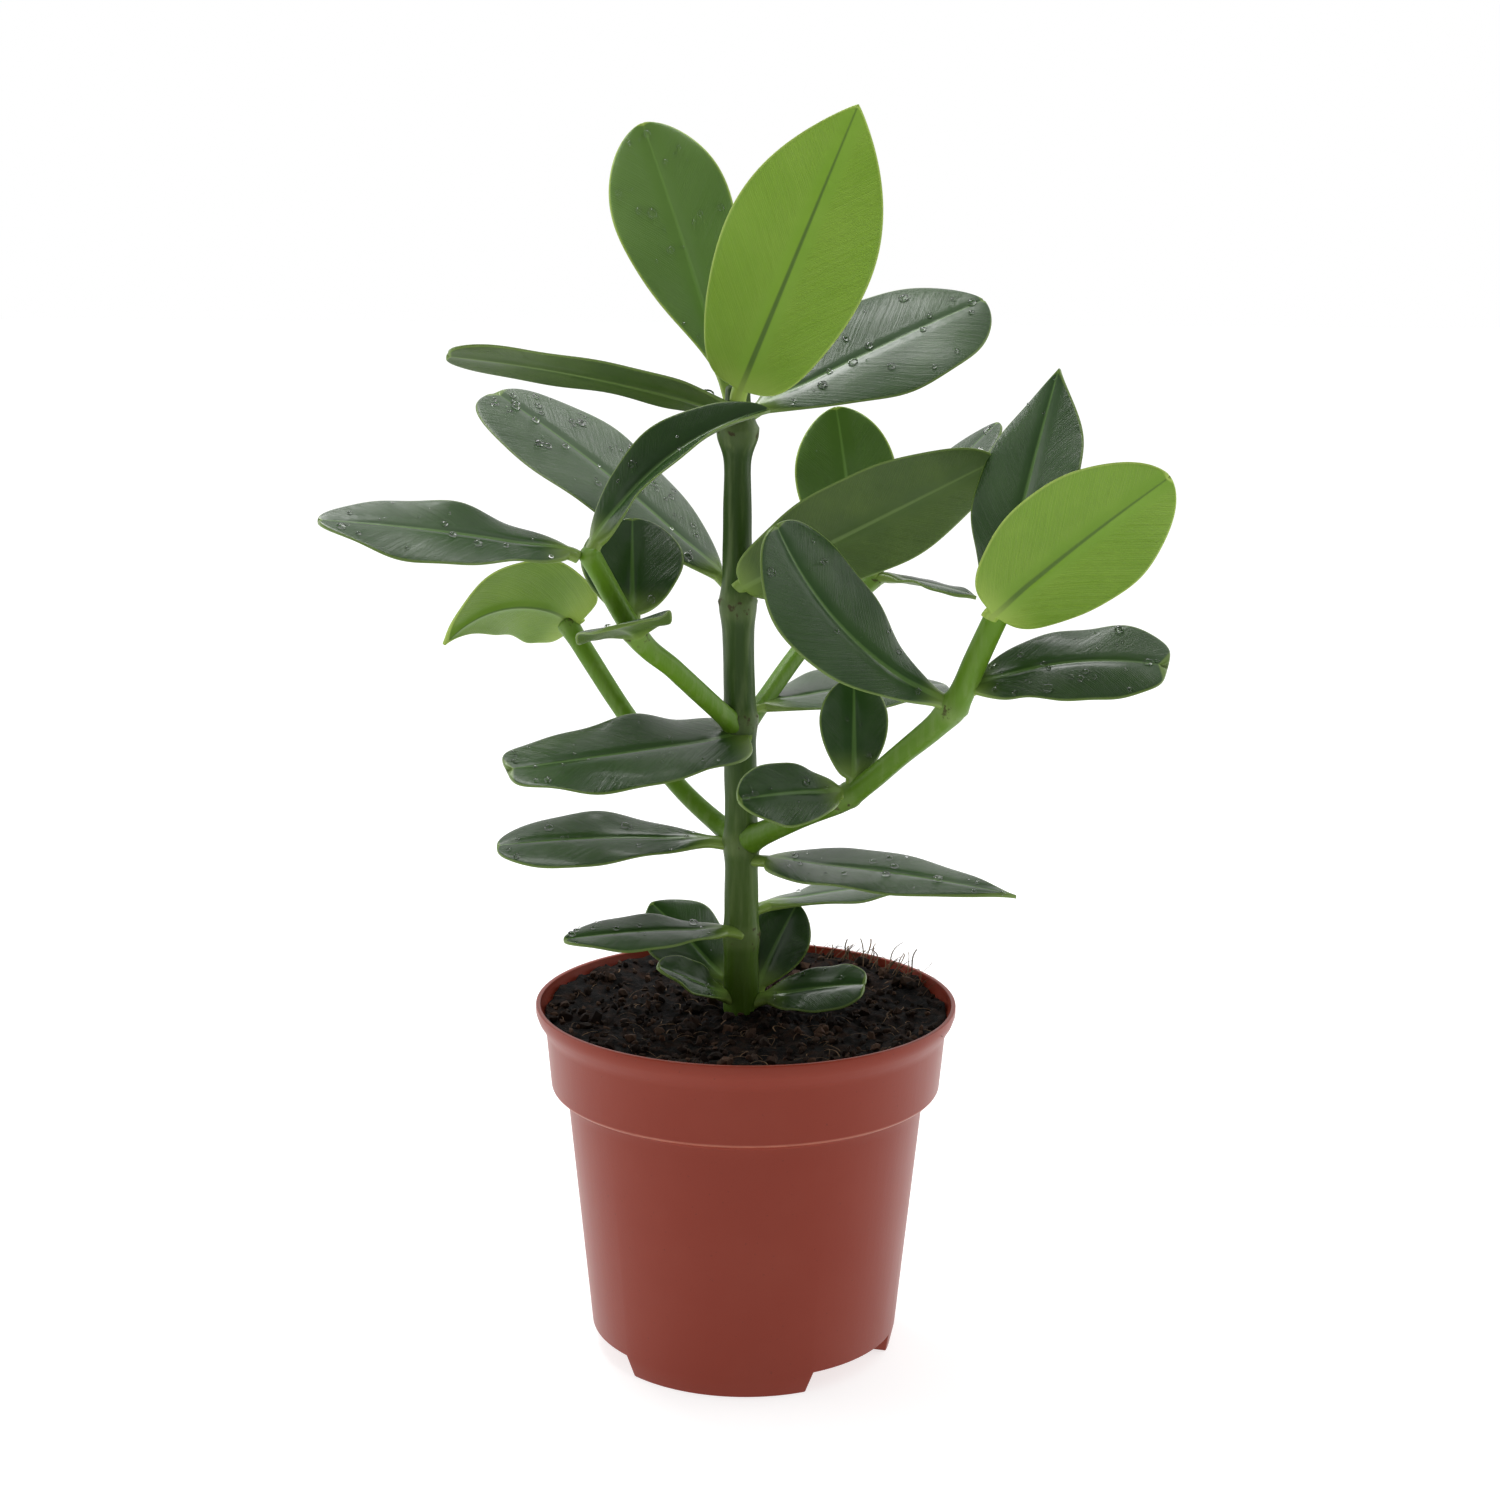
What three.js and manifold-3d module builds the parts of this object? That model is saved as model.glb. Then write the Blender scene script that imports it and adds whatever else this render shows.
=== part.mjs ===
// A young autograph tree (Clusia) in a round nursery pot.
// Millimetres. +Z is up, -Y is the front, and the pot stands on z = 0 with its axis on the origin.
import * as THREE from 'three';
import { LoftGeometry } from 'three/addons/geometries/LoftGeometry.js';
import { ParametricGeometry } from 'three/addons/geometries/ParametricGeometry.js';
import { mergeVertices } from 'three/addons/utils/BufferGeometryUtils.js';
import Module from 'manifold-3d';

const wasm = await Module();
wasm.setup();

// ---- Driving dimensions, in millimetres and degrees ----

const CLEARANCE = 0.3; // gap left between two pieces that touch

const POT_HEIGHT = 102.5;
const RIM_RADIUS = 60;
const WALL = 1.3;
const BAND_BOTTOM = 78; // height of the lower edge of the rim band
const BAND_RADIUS = 55.7;
const BODY_TOP_RADIUS = 50.9;
const BODY_BOTTOM_RADIUS = 44.2;
const FOOT_RADIUS = 42.9; // outer edge of the flat under a foot
const FOOT_INNER_RADIUS = 36;
const FLOOR_UNDERSIDE = 6;
const FOOT_COUNT = 3;
const CUTOUT_FIRST = 319; // direction of the first gap between feet, counter-clockwise from +X
const CUTOUT_HALF_ANGLE = 25; // at the ground
const CUTOUT_TOP_HALF_ANGLE = 22.5; // the ends of the feet lean in
const DRAIN_HOLES = 6;
const DRAIN_RADIUS = 3.5;
const DRAIN_CIRCLE = 24;
const RIM_FLARE = 2.9; // how far the lip turns out above the band
const STEP_RISE = 1.8; // height of the slope under the band
const CUTTER_MARGIN = 2; // how far the cutting blocks reach past the wall
const POT_SEGMENTS = 60;

const SOIL_LEVEL = 97; // mean height of the soil surface
const SOIL_LUMPS = 0.7; // height of the lumps in it
const SOIL_EDGE = 95.6; // height of its edge against the pot
const SOIL_SEGMENTS = 40;
const SOIL_TOP_RINGS = 7;

const STEM_SIDES = 14;
const BRANCH_SIDES = 10;

const PETIOLE_HALF_WIDTH = 2.3;
const PETIOLE_HALF_HEIGHT = 1.6;
const BLADE_HALF_THICKNESS = 0.6;
const LEAF_SIDES = 8; // points round a leaf's cross-section
const PETIOLE_STATIONS = 3;
const BLADE_STATIONS = 10;
const SIDE_OFFSET = 3.5; // from the middle of the stem to the foot of a leaf that names its side

const FINISHES = {
  terracottaPlastic: { color: 0xa4462f, roughness: 0.42, metalness: 0 },
  peat: { color: 0x2a1b14, roughness: 0.95, metalness: 0 },
  greenBark: { color: 0x4f7a2c, roughness: 0.5, metalness: 0 },
  youngBark: { color: 0x6f9c3a, roughness: 0.5, metalness: 0 },
  darkLeaf: { color: 0x2c5a2c, roughness: 0.35, metalness: 0 },
  youngLeaf: { color: 0x78a83a, roughness: 0.4, metalness: 0 },
};

// ---- Stems: points up the middle, each [x, y, z, radius] ----

const MAIN_STEM = {
  points: [
    [-1.2, 2, 70, 4.8],
    [-1.4, 2, 100, 5.2],
    [-1.6, 3, 149, 4.6],
    [-2.3, 3.6, 185, 4.5],
    [-3, 4, 218, 4.3],
    [-3.3, 4, 250, 3.8],
    [-3.3, 4, 276, 3.4],
  ],
  // Swollen joints: height, extra radius, half-height of the swelling.
  joints: [
    [121, 0.5, 4],
    [148, 0.8, 4],
    [183, 0.8, 4],
    [216, 1.0, 5],
    [264, 2.4, 5],
  ],
  sides: STEM_SIDES,
  rings: 44,
};

const BRANCHES = {
  branch_right: {
    points: [
      [-1.6, 3, 148, 3.4],
      [14, -11, 158.5, 3.1],
      [28, -19, 167, 3.0],
      [41, -28, 180, 3.1],
      [54, -37, 194.5, 3.4],
      [60, -42, 209, 3.3],
      [65.5, -46, 223, 3.1],
    ],
    joints: [[166, 0.5, 3], [195, 0.6, 3]],
    sides: BRANCH_SIDES,
    rings: 20,
  },
  branch_rear_left: {
    points: [
      [-1.6, 3, 149, 2.9],
      [-8, 8, 152, 2.8],
      [-21, 17, 162.5, 2.7],
      [-36, 27, 181, 2.7],
      [-53, 38, 205, 2.8],
    ],
    joints: [],
    sides: BRANCH_SIDES,
    rings: 14,
  },
  branch_front_left: {
    points: [
      [-2.3, 3.6, 181, 2.9],
      [-6, -1, 185, 2.8],
      [-20, -16, 201, 2.8],
      [-30, -25, 212, 2.9],
      [-42, -38, 236, 2.9],
    ],
    joints: [[212, 0.4, 3]],
    sides: BRANCH_SIDES,
    rings: 14,
  },
  branch_rear_right: {
    points: [
      [-2.3, 3.6, 181, 2.7],
      [3, 8, 186, 2.5],
      [18, 27, 203, 2.5],
      [38, 45, 219, 2.5],
    ],
    joints: [],
    sides: BRANCH_SIDES,
    rings: 12,
  },
};

// ---- Leaves ----
// at: height on the stem. heading: compass direction the leaf grows in, counter-clockwise from +X.
// pitch: slope at the foot of the blade. bend: change of slope along the blade.
// lift: how much steeper the petiole starts. widest: share of the blade where it is widest.
// roll: turn about the blade's own length, left side up. twist: change of roll along the blade.
// fold: how far the two halves slope up from the midrib. cup: how far they then curl upwards.
// baseBlunt, tipBlunt: small for a full rounded end, large for a narrow pointed one.
// side: direction of the point on the stem it springs from, where that isn't its heading.
const LEAF_DEFAULTS = {
  petiole: 9,
  lift: 20,
  bend: -10,
  roll: 0,
  twist: 0,
  cup: -12,
  fold: 6,
  widest: 0.56,
  baseBlunt: 0.5,
  tipBlunt: 0.55,
  side: null,
  finish: 'darkLeaf',
};

const LEAVES = {
  leaf_soil_front_left: {
    stem: 'main_stem', at: 99, heading: 216, pitch: 30, length: 26, width: 14,
    bend: -4, roll: -38, petiole: 8, cup: 20,
  },
  leaf_soil_right: {
    stem: 'main_stem', at: 99, heading: 341, pitch: 18, length: 30, width: 17,
    roll: 36, tipBlunt: 0.25,
  },
  leaf_soil_rear_right: {
    stem: 'main_stem', at: 99, heading: 38, pitch: 62, length: 26, width: 18,
    roll: 48, petiole: 7, side: 20,
  },
  leaf_soil_rear_left: {
    stem: 'main_stem', at: 99, heading: 152, pitch: 44, length: 32, width: 26,
    roll: -25, baseBlunt: 0.6, tipBlunt: 0.7,
  },
  leaf_low_left: {
    stem: 'main_stem', at: 122, heading: 201, pitch: 7, length: 48, width: 19,
    roll: -14, petiole: 5, side: 270,
  },
  leaf_low_right: {
    stem: 'main_stem', at: 126, heading: 28, pitch: 6, length: 54, width: 22,
    bend: -14,
  },
  leaf_second_right: {
    stem: 'main_stem', at: 143, heading: 331, pitch: 4, length: 76, width: 28,
    bend: -8, roll: 10, lift: 0, widest: 0.42, tipBlunt: 1.3,
  },
  leaf_second_left: {
    stem: 'main_stem', at: 146, heading: 180, pitch: 4, length: 61, width: 27,
    bend: -12, roll: -20, widest: 0.6, baseBlunt: 0.6, tipBlunt: 0.42,
  },
  leaf_third_front: {
    stem: 'main_stem', at: 179, heading: 201, pitch: -4, length: 70, width: 32,
    bend: 0, roll: -20, twist: -4, petiole: 1, widest: 0.42, baseBlunt: 0.35, tipBlunt: 0.25, side: 320,
  },
  leaf_third_rear: {
    stem: 'main_stem', at: 184, heading: 32, pitch: 8, length: 64, width: 34,
    bend: -16, roll: 8, petiole: 8,
  },
  leaf_fourth_left: {
    stem: 'main_stem', at: 217, heading: 153, pitch: 39, length: 88, width: 46,
    bend: -12, roll: -8, widest: 0.6, tipBlunt: 0.3,
  },
  leaf_fourth_right: {
    stem: 'main_stem', at: 221, heading: 343, pitch: 28, length: 80, width: 31,
    bend: 0, roll: -62, petiole: 2, widest: 0.52, baseBlunt: 0.35, side: 270,
  },
  leaf_front_branch_tip_right: {
    stem: 'branch_front_left', at: 235, heading: 22, pitch: 58, length: 61, width: 18,
    bend: -48, roll: 26, petiole: 4, cup: 10, fold: 30, widest: 0.5,
  },
  leaf_fifth_right: {
    stem: 'main_stem', at: 266, heading: 25, pitch: 24, length: 76, width: 42,
    bend: -4, roll: 30, petiole: 8, widest: 0.62,
  },
  leaf_fifth_left: {
    stem: 'main_stem', at: 268, heading: 197, pitch: 18, length: 84, width: 20,
    bend: -12, roll: 28, petiole: 2, tipBlunt: 0.3, side: 340,
  },
  leaf_top_front: {
    stem: 'main_stem', at: 273, heading: 330, pitch: 65, length: 83, width: 42,
    bend: 0, roll: -64, petiole: 3.5, widest: 0.48, baseBlunt: 0.35,
    tipBlunt: 0.85, side: 270, finish: 'youngLeaf',
  },
  leaf_top_rear: {
    stem: 'main_stem', at: 268, heading: 135, pitch: 66, length: 80, width: 34,
    bend: -4, roll: -40, petiole: 8, widest: 0.66, baseBlunt: 0.7, side: 110, finish: 'youngLeaf',
  },
  leaf_right_branch_low_left: {
    stem: 'branch_right', at: 167, heading: 214, pitch: 8, length: 33, width: 20,
    roll: -48, petiole: 4, baseBlunt: 0.4,
  },
  leaf_right_branch_low_upright: {
    stem: 'branch_right', at: 168, heading: 92, pitch: 82, length: 28, width: 19,
    petiole: 4, baseBlunt: 0.4,
  },
  leaf_right_branch_upper_left: {
    stem: 'branch_right', at: 195, heading: 196, pitch: 26, length: 68, width: 31,
    bend: 40, roll: -62, petiole: 4, widest: 0.66, tipBlunt: 0.42,
  },
  leaf_right_branch_upper_right: {
    stem: 'branch_right', at: 198, heading: 346, pitch: 26, length: 52, width: 27,
    bend: -34, roll: 36, petiole: 5, tipBlunt: 0.25,
  },
  leaf_right_branch_tip_right: {
    stem: 'branch_right', at: 221, heading: 342, pitch: 43, length: 58, width: 38,
    bend: -6, roll: -62, petiole: 2, widest: 0.5, baseBlunt: 0.35, side: 230, finish: 'youngLeaf',
  },
  leaf_right_branch_tip_rear: {
    stem: 'branch_right', at: 219, heading: 51, pitch: 70, length: 64, width: 32,
    bend: -6, petiole: 6, widest: 0.5, baseBlunt: 0.45, tipBlunt: 1.1, side: 60,
  },
  leaf_rear_branch_upright: {
    stem: 'branch_rear_right', at: 216, heading: 119, pitch: 80, length: 47, width: 30,
    roll: -30, petiole: 6, side: 150, finish: 'youngLeaf',
  },
  leaf_rear_branch_tip: {
    stem: 'branch_rear_right', at: 217, heading: 27, pitch: 52, length: 57, width: 26,
    bend: -15, petiole: 6,
  },
  leaf_rear_branch_low: {
    stem: 'branch_rear_right', at: 218, heading: 338, pitch: -2, length: 28, width: 12,
    bend: -14, petiole: 4, tipBlunt: 1,
  },
  leaf_front_branch_tip_left: {
    stem: 'branch_front_left', at: 235, heading: 198, pitch: 13, length: 66, width: 27,
    bend: -8, roll: -28, petiole: 3, baseBlunt: 0.45, side: 200,
  },
  leaf_front_branch_rear: {
    stem: 'branch_front_left', at: 214, heading: 92, pitch: 60, length: 29, width: 28,
    petiole: 4, baseBlunt: 0.42,
  },
  leaf_front_branch_front: {
    stem: 'branch_front_left', at: 211, heading: 262, pitch: 16, length: 32, width: 26,
    bend: -8, roll: 16, petiole: 5,
  },
  leaf_left_branch_tip: {
    stem: 'branch_rear_left', at: 205, heading: 192, pitch: 36, length: 44, width: 40,
    bend: -88, roll: 44, petiole: 0.5, fold: 10, widest: 0.34, baseBlunt: 0.3,
    tipBlunt: 1.4, side: 0, finish: 'youngLeaf',
  },
};

// ---- Helpers ----

const radians = THREE.MathUtils.degToRad;

/** Turns a closed three.js surface into a solid that can be joined and cut. */
function solidOf(geometry) {
  const bare = new THREE.BufferGeometry();
  bare.setAttribute('position', geometry.getAttribute('position'));
  bare.setIndex(geometry.index);
  const merged = mergeVertices(bare, 1e-4);
  const corners = [];
  for (let i = 0; i < merged.index.count; i += 3) {
    const [a, b, c] = [0, 1, 2].map((k) => merged.index.getX(i + k));
    if (a !== b && b !== c && c !== a) {
      corners.push(a, b, c);
    }
  }
  return new wasm.Manifold(new wasm.Mesh({
    numProp: 3,
    vertProperties: new Float32Array(merged.getAttribute('position').array),
    triVerts: new Uint32Array(corners),
  }));
}

/** Cuts a solid back from its neighbours and keeps the largest piece left. */
function cutBack(solid, neighbours) {
  const rest = neighbours.reduce((left, neighbour) => left.subtract(neighbour), solid);
  return rest.decompose().sort((a, b) => b.volume() - a.volume())[0];
}

/** Turns a solid into a named mesh with a finish. */
function meshOf(name, solid, finish) {
  const data = solid.getMesh();
  const geometry = new THREE.BufferGeometry();
  geometry.setAttribute('position', new THREE.BufferAttribute(new Float32Array(data.vertProperties), 3));
  geometry.setIndex(new THREE.BufferAttribute(new Uint32Array(data.triVerts), 1));
  geometry.computeVertexNormals();
  const mesh = new THREE.Mesh(geometry, new THREE.MeshStandardMaterial(FINISHES[finish]));
  mesh.name = name;
  return mesh;
}

/** A solid of revolution about Z from [radius, height] points. */
function lathe(profile, segments = POT_SEGMENTS) {
  const points = profile.map(([radius, height]) => new THREE.Vector2(radius, height));
  const geometry = new THREE.LatheGeometry(points, segments);
  geometry.rotateX(Math.PI / 2);
  return solidOf(geometry);
}

/** A block of ring between two radii whose ends lean: half-angles are given at its bottom and top. */
function ringBlock({ inner, outer, bottom, top, middle, bottomHalf, topHalf }) {
  const steps = 12;
  const sections = [[bottom, bottomHalf], [top, topHalf]].map(([height, half]) => {
    const section = [];
    for (const [radius, direction] of [[outer, 1], [inner, -1]]) {
      for (let i = 0; i <= steps; i += 1) {
        const angle = radians(middle + direction * half * (2 * i / steps - 1));
        section.push(new THREE.Vector3(radius * Math.cos(angle), radius * Math.sin(angle), height));
      }
    }
    return section;
  });
  return solidOf(new LoftGeometry(sections, { capStart: true, capEnd: true }));
}

// ---- Pot ----

function buildPot() {
  const outside = lathe([
    [0, FLOOR_UNDERSIDE],
    [FOOT_INNER_RADIUS, FLOOR_UNDERSIDE],
    [FOOT_INNER_RADIUS, 0],
    [FOOT_RADIUS, 0],
    [FOOT_RADIUS + 0.8, 0.7],
    [BODY_BOTTOM_RADIUS, 5],
    [BODY_TOP_RADIUS, 73],
    [BODY_TOP_RADIUS + 0.7, BAND_BOTTOM - STEP_RISE],
    [BODY_TOP_RADIUS + 2.2, BAND_BOTTOM - 0.5],
    [BAND_RADIUS - 0.5, BAND_BOTTOM],
    [BAND_RADIUS, BAND_BOTTOM + 0.5],
    [RIM_RADIUS - RIM_FLARE, 94],
    [RIM_RADIUS - 2.1, 96.2],
    [RIM_RADIUS - 0.7, 98.4],
    [RIM_RADIUS, 100.4],
    [RIM_RADIUS, POT_HEIGHT - 0.4],
    [RIM_RADIUS - 0.4, POT_HEIGHT],
    [0, POT_HEIGHT],
  ]);
  let pot = outside.subtract(potCavity());
  for (let i = 0; i < FOOT_COUNT; i += 1) {
    const turn = i * 360 / FOOT_COUNT;
    pot = pot.subtract(ringBlock({
      inner: FOOT_INNER_RADIUS - CUTTER_MARGIN,
      outer: BODY_BOTTOM_RADIUS + CUTTER_MARGIN,
      bottom: -CUTTER_MARGIN,
      top: FLOOR_UNDERSIDE,
      middle: CUTOUT_FIRST + turn,
      bottomHalf: CUTOUT_HALF_ANGLE,
      topHalf: CUTOUT_TOP_HALF_ANGLE,
    }));
    pot = pot.subtract(footHollow(turn, 0));
  }
  for (let i = 0; i < DRAIN_HOLES; i += 1) {
    const angle = radians(i * 360 / DRAIN_HOLES);
    const hole = new THREE.CylinderGeometry(DRAIN_RADIUS, DRAIN_RADIUS, 3 * WALL, 16);
    hole.rotateX(Math.PI / 2);
    const height = FLOOR_UNDERSIDE + WALL / 2;
    hole.translate(DRAIN_CIRCLE * Math.cos(angle), DRAIN_CIRCLE * Math.sin(angle), height);
    pot = pot.subtract(solidOf(hole));
  }
  return pot;
}

/** Radius of the pot's inside at the heights where its wall turns. */
const CAVITY_PROFILE = [
  [BODY_BOTTOM_RADIUS - WALL, FLOOR_UNDERSIDE + WALL],
  [BODY_TOP_RADIUS - WALL, 74],
  [BODY_TOP_RADIUS - WALL + 1.2, BAND_BOTTOM + 0.6],
  [BAND_RADIUS - WALL - 0.3, BAND_BOTTOM + WALL + 0.4],
  [RIM_RADIUS - RIM_FLARE - WALL, 94.3],
  [RIM_RADIUS - 2.0 - WALL, 97.2],
];

function potCavity() {
  return lathe([
    [0, FLOOR_UNDERSIDE + WALL],
    ...CAVITY_PROFILE,
    [RIM_RADIUS - WALL, 100.6],
    [RIM_RADIUS - WALL, POT_HEIGHT + CUTTER_MARGIN],
    [0, POT_HEIGHT + CUTTER_MARGIN],
  ]);
}

/** The hollow inside one foot, or, shrunk, the soil that fills it. */
function footHollow(turn, shrink) {
  const wallAngle = 2.6 + shrink * 1.5;
  const footHalf = 180 / FOOT_COUNT - CUTOUT_HALF_ANGLE - wallAngle;
  return ringBlock({
    inner: FOOT_INNER_RADIUS + WALL + shrink,
    outer: FOOT_RADIUS - WALL + 0.4 - shrink,
    bottom: WALL + shrink,
    top: FLOOR_UNDERSIDE + WALL + 0.4 + shrink,
    middle: CUTOUT_FIRST + 180 / FOOT_COUNT + turn,
    bottomHalf: footHalf,
    topHalf: footHalf + 2,
  });
}

// ---- Soil ----

/** Height of the lumpy soil surface. */
function soilHeight(x, y) {
  const lumps = Math.sin(x * 0.31 + 1) * Math.cos(y * 0.27) + Math.sin(x * 0.13 - y * 0.21 + 2);
  return SOIL_LEVEL + SOIL_LUMPS * lumps * 0.5;
}

function buildSoil(mainStem) {
  const rings = [
    [0, FLOOR_UNDERSIDE + WALL + CLEARANCE],
    ...CAVITY_PROFILE.slice(0, -1).map(([radius, height]) => [radius - CLEARANCE, height + CLEARANCE]),
    [RIM_RADIUS - RIM_FLARE - WALL, SOIL_EDGE],
  ];
  const rows = rings.length + SOIL_TOP_RINGS - 1;
  const outerTop = rings[rings.length - 1][0];
  const surface = new ParametricGeometry((u, v, target) => {
    const row = v * rows;
    const angle = u * 2 * Math.PI;
    const side = Math.min(row, rings.length - 1);
    const low = rings[Math.floor(side)];
    const high = rings[Math.ceil(side)];
    let radius = THREE.MathUtils.lerp(low[0], high[0], side % 1);
    let height = THREE.MathUtils.lerp(low[1], high[1], side % 1);
    if (row > rings.length - 1) {
      radius = outerTop * (1 - (row - rings.length + 1) / SOIL_TOP_RINGS);
      height = soilHeight(radius * Math.cos(angle), radius * Math.sin(angle));
    }
    target.set(radius * Math.cos(angle), radius * Math.sin(angle), height);
  }, SOIL_SEGMENTS, rows);
  let soil = solidOf(surface);
  for (let i = 0; i < FOOT_COUNT; i += 1) {
    soil = soil.add(footHollow(i * 360 / FOOT_COUNT, CLEARANCE));
  }
  return soil.subtract(mainStem);
}

// ---- Stems and branches ----

function stemCurve(stem) {
  const points = stem.points.map(([x, y, z]) => new THREE.Vector3(x, y, z));
  return new THREE.CatmullRomCurve3(points, false, 'catmullrom', 0.5);
}

/** Radius of a stem at a share of the way along its points, swollen at its joints. */
function stemRadius(stem, share, height) {
  const last = stem.points.length - 1;
  const position = share * last;
  const index = Math.min(Math.floor(position), last - 1);
  const radius = THREE.MathUtils.lerp(stem.points[index][3], stem.points[index + 1][3], position - index);
  return stem.joints.reduce(
    (sum, [middle, swell, half]) => sum + swell * Math.exp(-(((height - middle) / half) ** 2)),
    radius,
  );
}

/** Point on a stem at a given height; every stem climbs steadily. */
function stemPointAt(stem, height) {
  const curve = stemCurve(stem);
  let low = 0;
  let high = 1;
  for (let i = 0; i < 30; i += 1) {
    const middle = (low + high) / 2;
    if (curve.getPoint(middle).z < height) {
      low = middle;
    } else {
      high = middle;
    }
  }
  return curve.getPoint(low);
}

/** A closed round stem, grown outwards all over by a margin. */
function stemSolid(stem, margin = 0) {
  const curve = stemCurve(stem);
  const { sides, rings } = stem;
  const rows = rings + 2;
  return solidOf(new ParametricGeometry((u, v, target) => {
    const row = v * rows;
    const share = THREE.MathUtils.clamp((row - 1) / rings, 0, 1);
    const centre = curve.getPoint(share);
    const along = curve.getTangent(share);
    const across = new THREE.Vector3(-along.y, along.x, 0);
    if (across.lengthSq() < 0.01) {
      across.set(0, 1, 0);
    }
    across.addScaledVector(along, -across.dot(along)).normalize();
    const upward = new THREE.Vector3().crossVectors(along, across);
    const cap = row < 1 ? row : Math.min(1, rows - row);
    const radius = cap * (stemRadius(stem, share, centre.z) + margin);
    const angle = u * 2 * Math.PI;
    let overhang = 0;
    if (row < 1) {
      overhang = -margin;
    } else if (rows - row < 1) {
      overhang = margin;
    }
    target.copy(centre)
      .addScaledVector(along, overhang)
      .addScaledVector(across, radius * Math.cos(angle))
      .addScaledVector(upward, radius * Math.sin(angle));
  }, sides, rows));
}

// ---- Leaves ----

/** Direction, left side and upper face of a leaf at a share of its blade (below zero is its petiole). */
function leafFrame(leaf, share) {
  const onBlade = Math.max(share, 0);
  const heading = radians(leaf.heading);
  const rise = share < 0 ? -leaf.lift * share : leaf.bend * share;
  const pitch = radians(leaf.pitch + rise);
  const roll = radians(leaf.roll + leaf.twist * onBlade);
  const along = new THREE.Vector3(
    Math.cos(pitch) * Math.cos(heading),
    Math.cos(pitch) * Math.sin(heading),
    Math.sin(pitch),
  );
  const left = new THREE.Vector3(-Math.sin(heading), Math.cos(heading), 0);
  const face = new THREE.Vector3().crossVectors(along, left);
  const rolledLeft = left.clone().multiplyScalar(Math.cos(roll)).addScaledVector(face, Math.sin(roll));
  const rolledFace = face.clone().multiplyScalar(Math.cos(roll)).addScaledVector(left, -Math.sin(roll));
  return { along, left: rolledLeft, face: rolledFace };
}

/** Half-width of the blade at a share of its length: blunt or pointed by the two exponents. */
function bladeHalfWidth(leaf, share) {
  const stretch = Math.log(0.5) / Math.log(leaf.widest);
  const blunt = THREE.MathUtils.lerp(leaf.baseBlunt, leaf.tipBlunt, share);
  return leaf.width / 2 * Math.max(0, Math.sin(Math.PI * share ** stretch)) ** blunt;
}

/** Centre and frame of each cross-section, from the foot of the petiole to the tip. */
function leafStations(leaf, foot) {
  const shares = [];
  for (let i = 0; i < PETIOLE_STATIONS; i += 1) {
    shares.push(i / PETIOLE_STATIONS - 1);
  }
  for (let i = 0; i <= BLADE_STATIONS; i += 1) {
    shares.push(i / BLADE_STATIONS);
  }
  const centre = foot.clone();
  return shares.map((share, index) => {
    if (index > 0) {
      const before = shares[index - 1];
      const step = (share - before) * (before < 0 ? leaf.petiole : leaf.length);
      centre.addScaledVector(leafFrame(leaf, (before + share) / 2).along, step);
    }
    const onBlade = Math.max(share, 0);
    const fade = Math.min(1, onBlade * 4);
    const petioleWidth = PETIOLE_HALF_WIDTH * (1 - 0.2 * fade);
    const bladeWidth = bladeHalfWidth(leaf, onBlade);
    const thickness = THREE.MathUtils.lerp(PETIOLE_HALF_HEIGHT, BLADE_HALF_THICKNESS, fade);
    const atTip = share === 1;
    return {
      ...leafFrame(leaf, share),
      centre: centre.clone(),
      halfWidth: atTip ? 0 : Math.max(share < 0.3 ? petioleWidth : 0, bladeWidth),
      halfThickness: atTip ? 0 : thickness,
      flatness: fade,
    };
  });
}

function leafSolid(leaf, foot) {
  const stations = leafStations(leaf, foot);
  stations.unshift({ ...stations[0], halfWidth: 0, halfThickness: 0 });
  const rows = stations.length - 1;
  const fold = radians(leaf.fold);
  const cup = radians(leaf.cup);
  return solidOf(new ParametricGeometry((u, v, target) => {
    const station = stations[Math.round(v * rows)];
    const angle = u * 2 * Math.PI;
    const share = Math.cos(angle);
    const bent = fold + cup * Math.abs(share);
    const reach = station.halfWidth * (Math.sin(bent) - Math.sin(fold)) / cup;
    const lift = station.halfWidth * (Math.cos(fold) - Math.cos(bent)) / cup;
    const flat = station.flatness;
    const sideways = THREE.MathUtils.lerp(station.halfWidth * share, Math.sign(share) * reach, flat);
    const upward = lift * flat + station.halfThickness * Math.sin(angle);
    target.copy(station.centre)
      .addScaledVector(station.left, sideways)
      .addScaledVector(station.face, upward);
  }, LEAF_SIDES, rows));
}

// ---- Assembly ----

const plant = new THREE.Group();
plant.name = 'potted_autograph_tree';

const mainStem = stemSolid(MAIN_STEM);
const mainStemRoom = stemSolid(MAIN_STEM, CLEARANCE);
plant.add(meshOf('pot', buildPot(), 'terracottaPlastic'));
plant.add(meshOf('soil', buildSoil(mainStemRoom), 'peat'));
plant.add(meshOf('main_stem', mainStem, 'greenBark'));

const stemRooms = { main_stem: mainStemRoom };
for (const [name, branch] of Object.entries(BRANCHES)) {
  plant.add(meshOf(name, cutBack(stemSolid(branch), [mainStemRoom]), 'youngBark'));
  stemRooms[name] = stemSolid(branch, CLEARANCE);
}

const STEMS = { main_stem: MAIN_STEM, ...BRANCHES };
for (const [name, entry] of Object.entries(LEAVES)) {
  const leaf = { ...LEAF_DEFAULTS, ...entry };
  const foot = stemPointAt(STEMS[leaf.stem], leaf.at);
  if (leaf.side !== null) {
    const side = radians(leaf.side);
    foot.add(new THREE.Vector3(SIDE_OFFSET * Math.cos(side), SIDE_OFFSET * Math.sin(side), 0));
  }
  plant.add(meshOf(name, cutBack(leafSolid(leaf, foot), Object.values(stemRooms)), leaf.finish));
}

export default plant;
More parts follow.
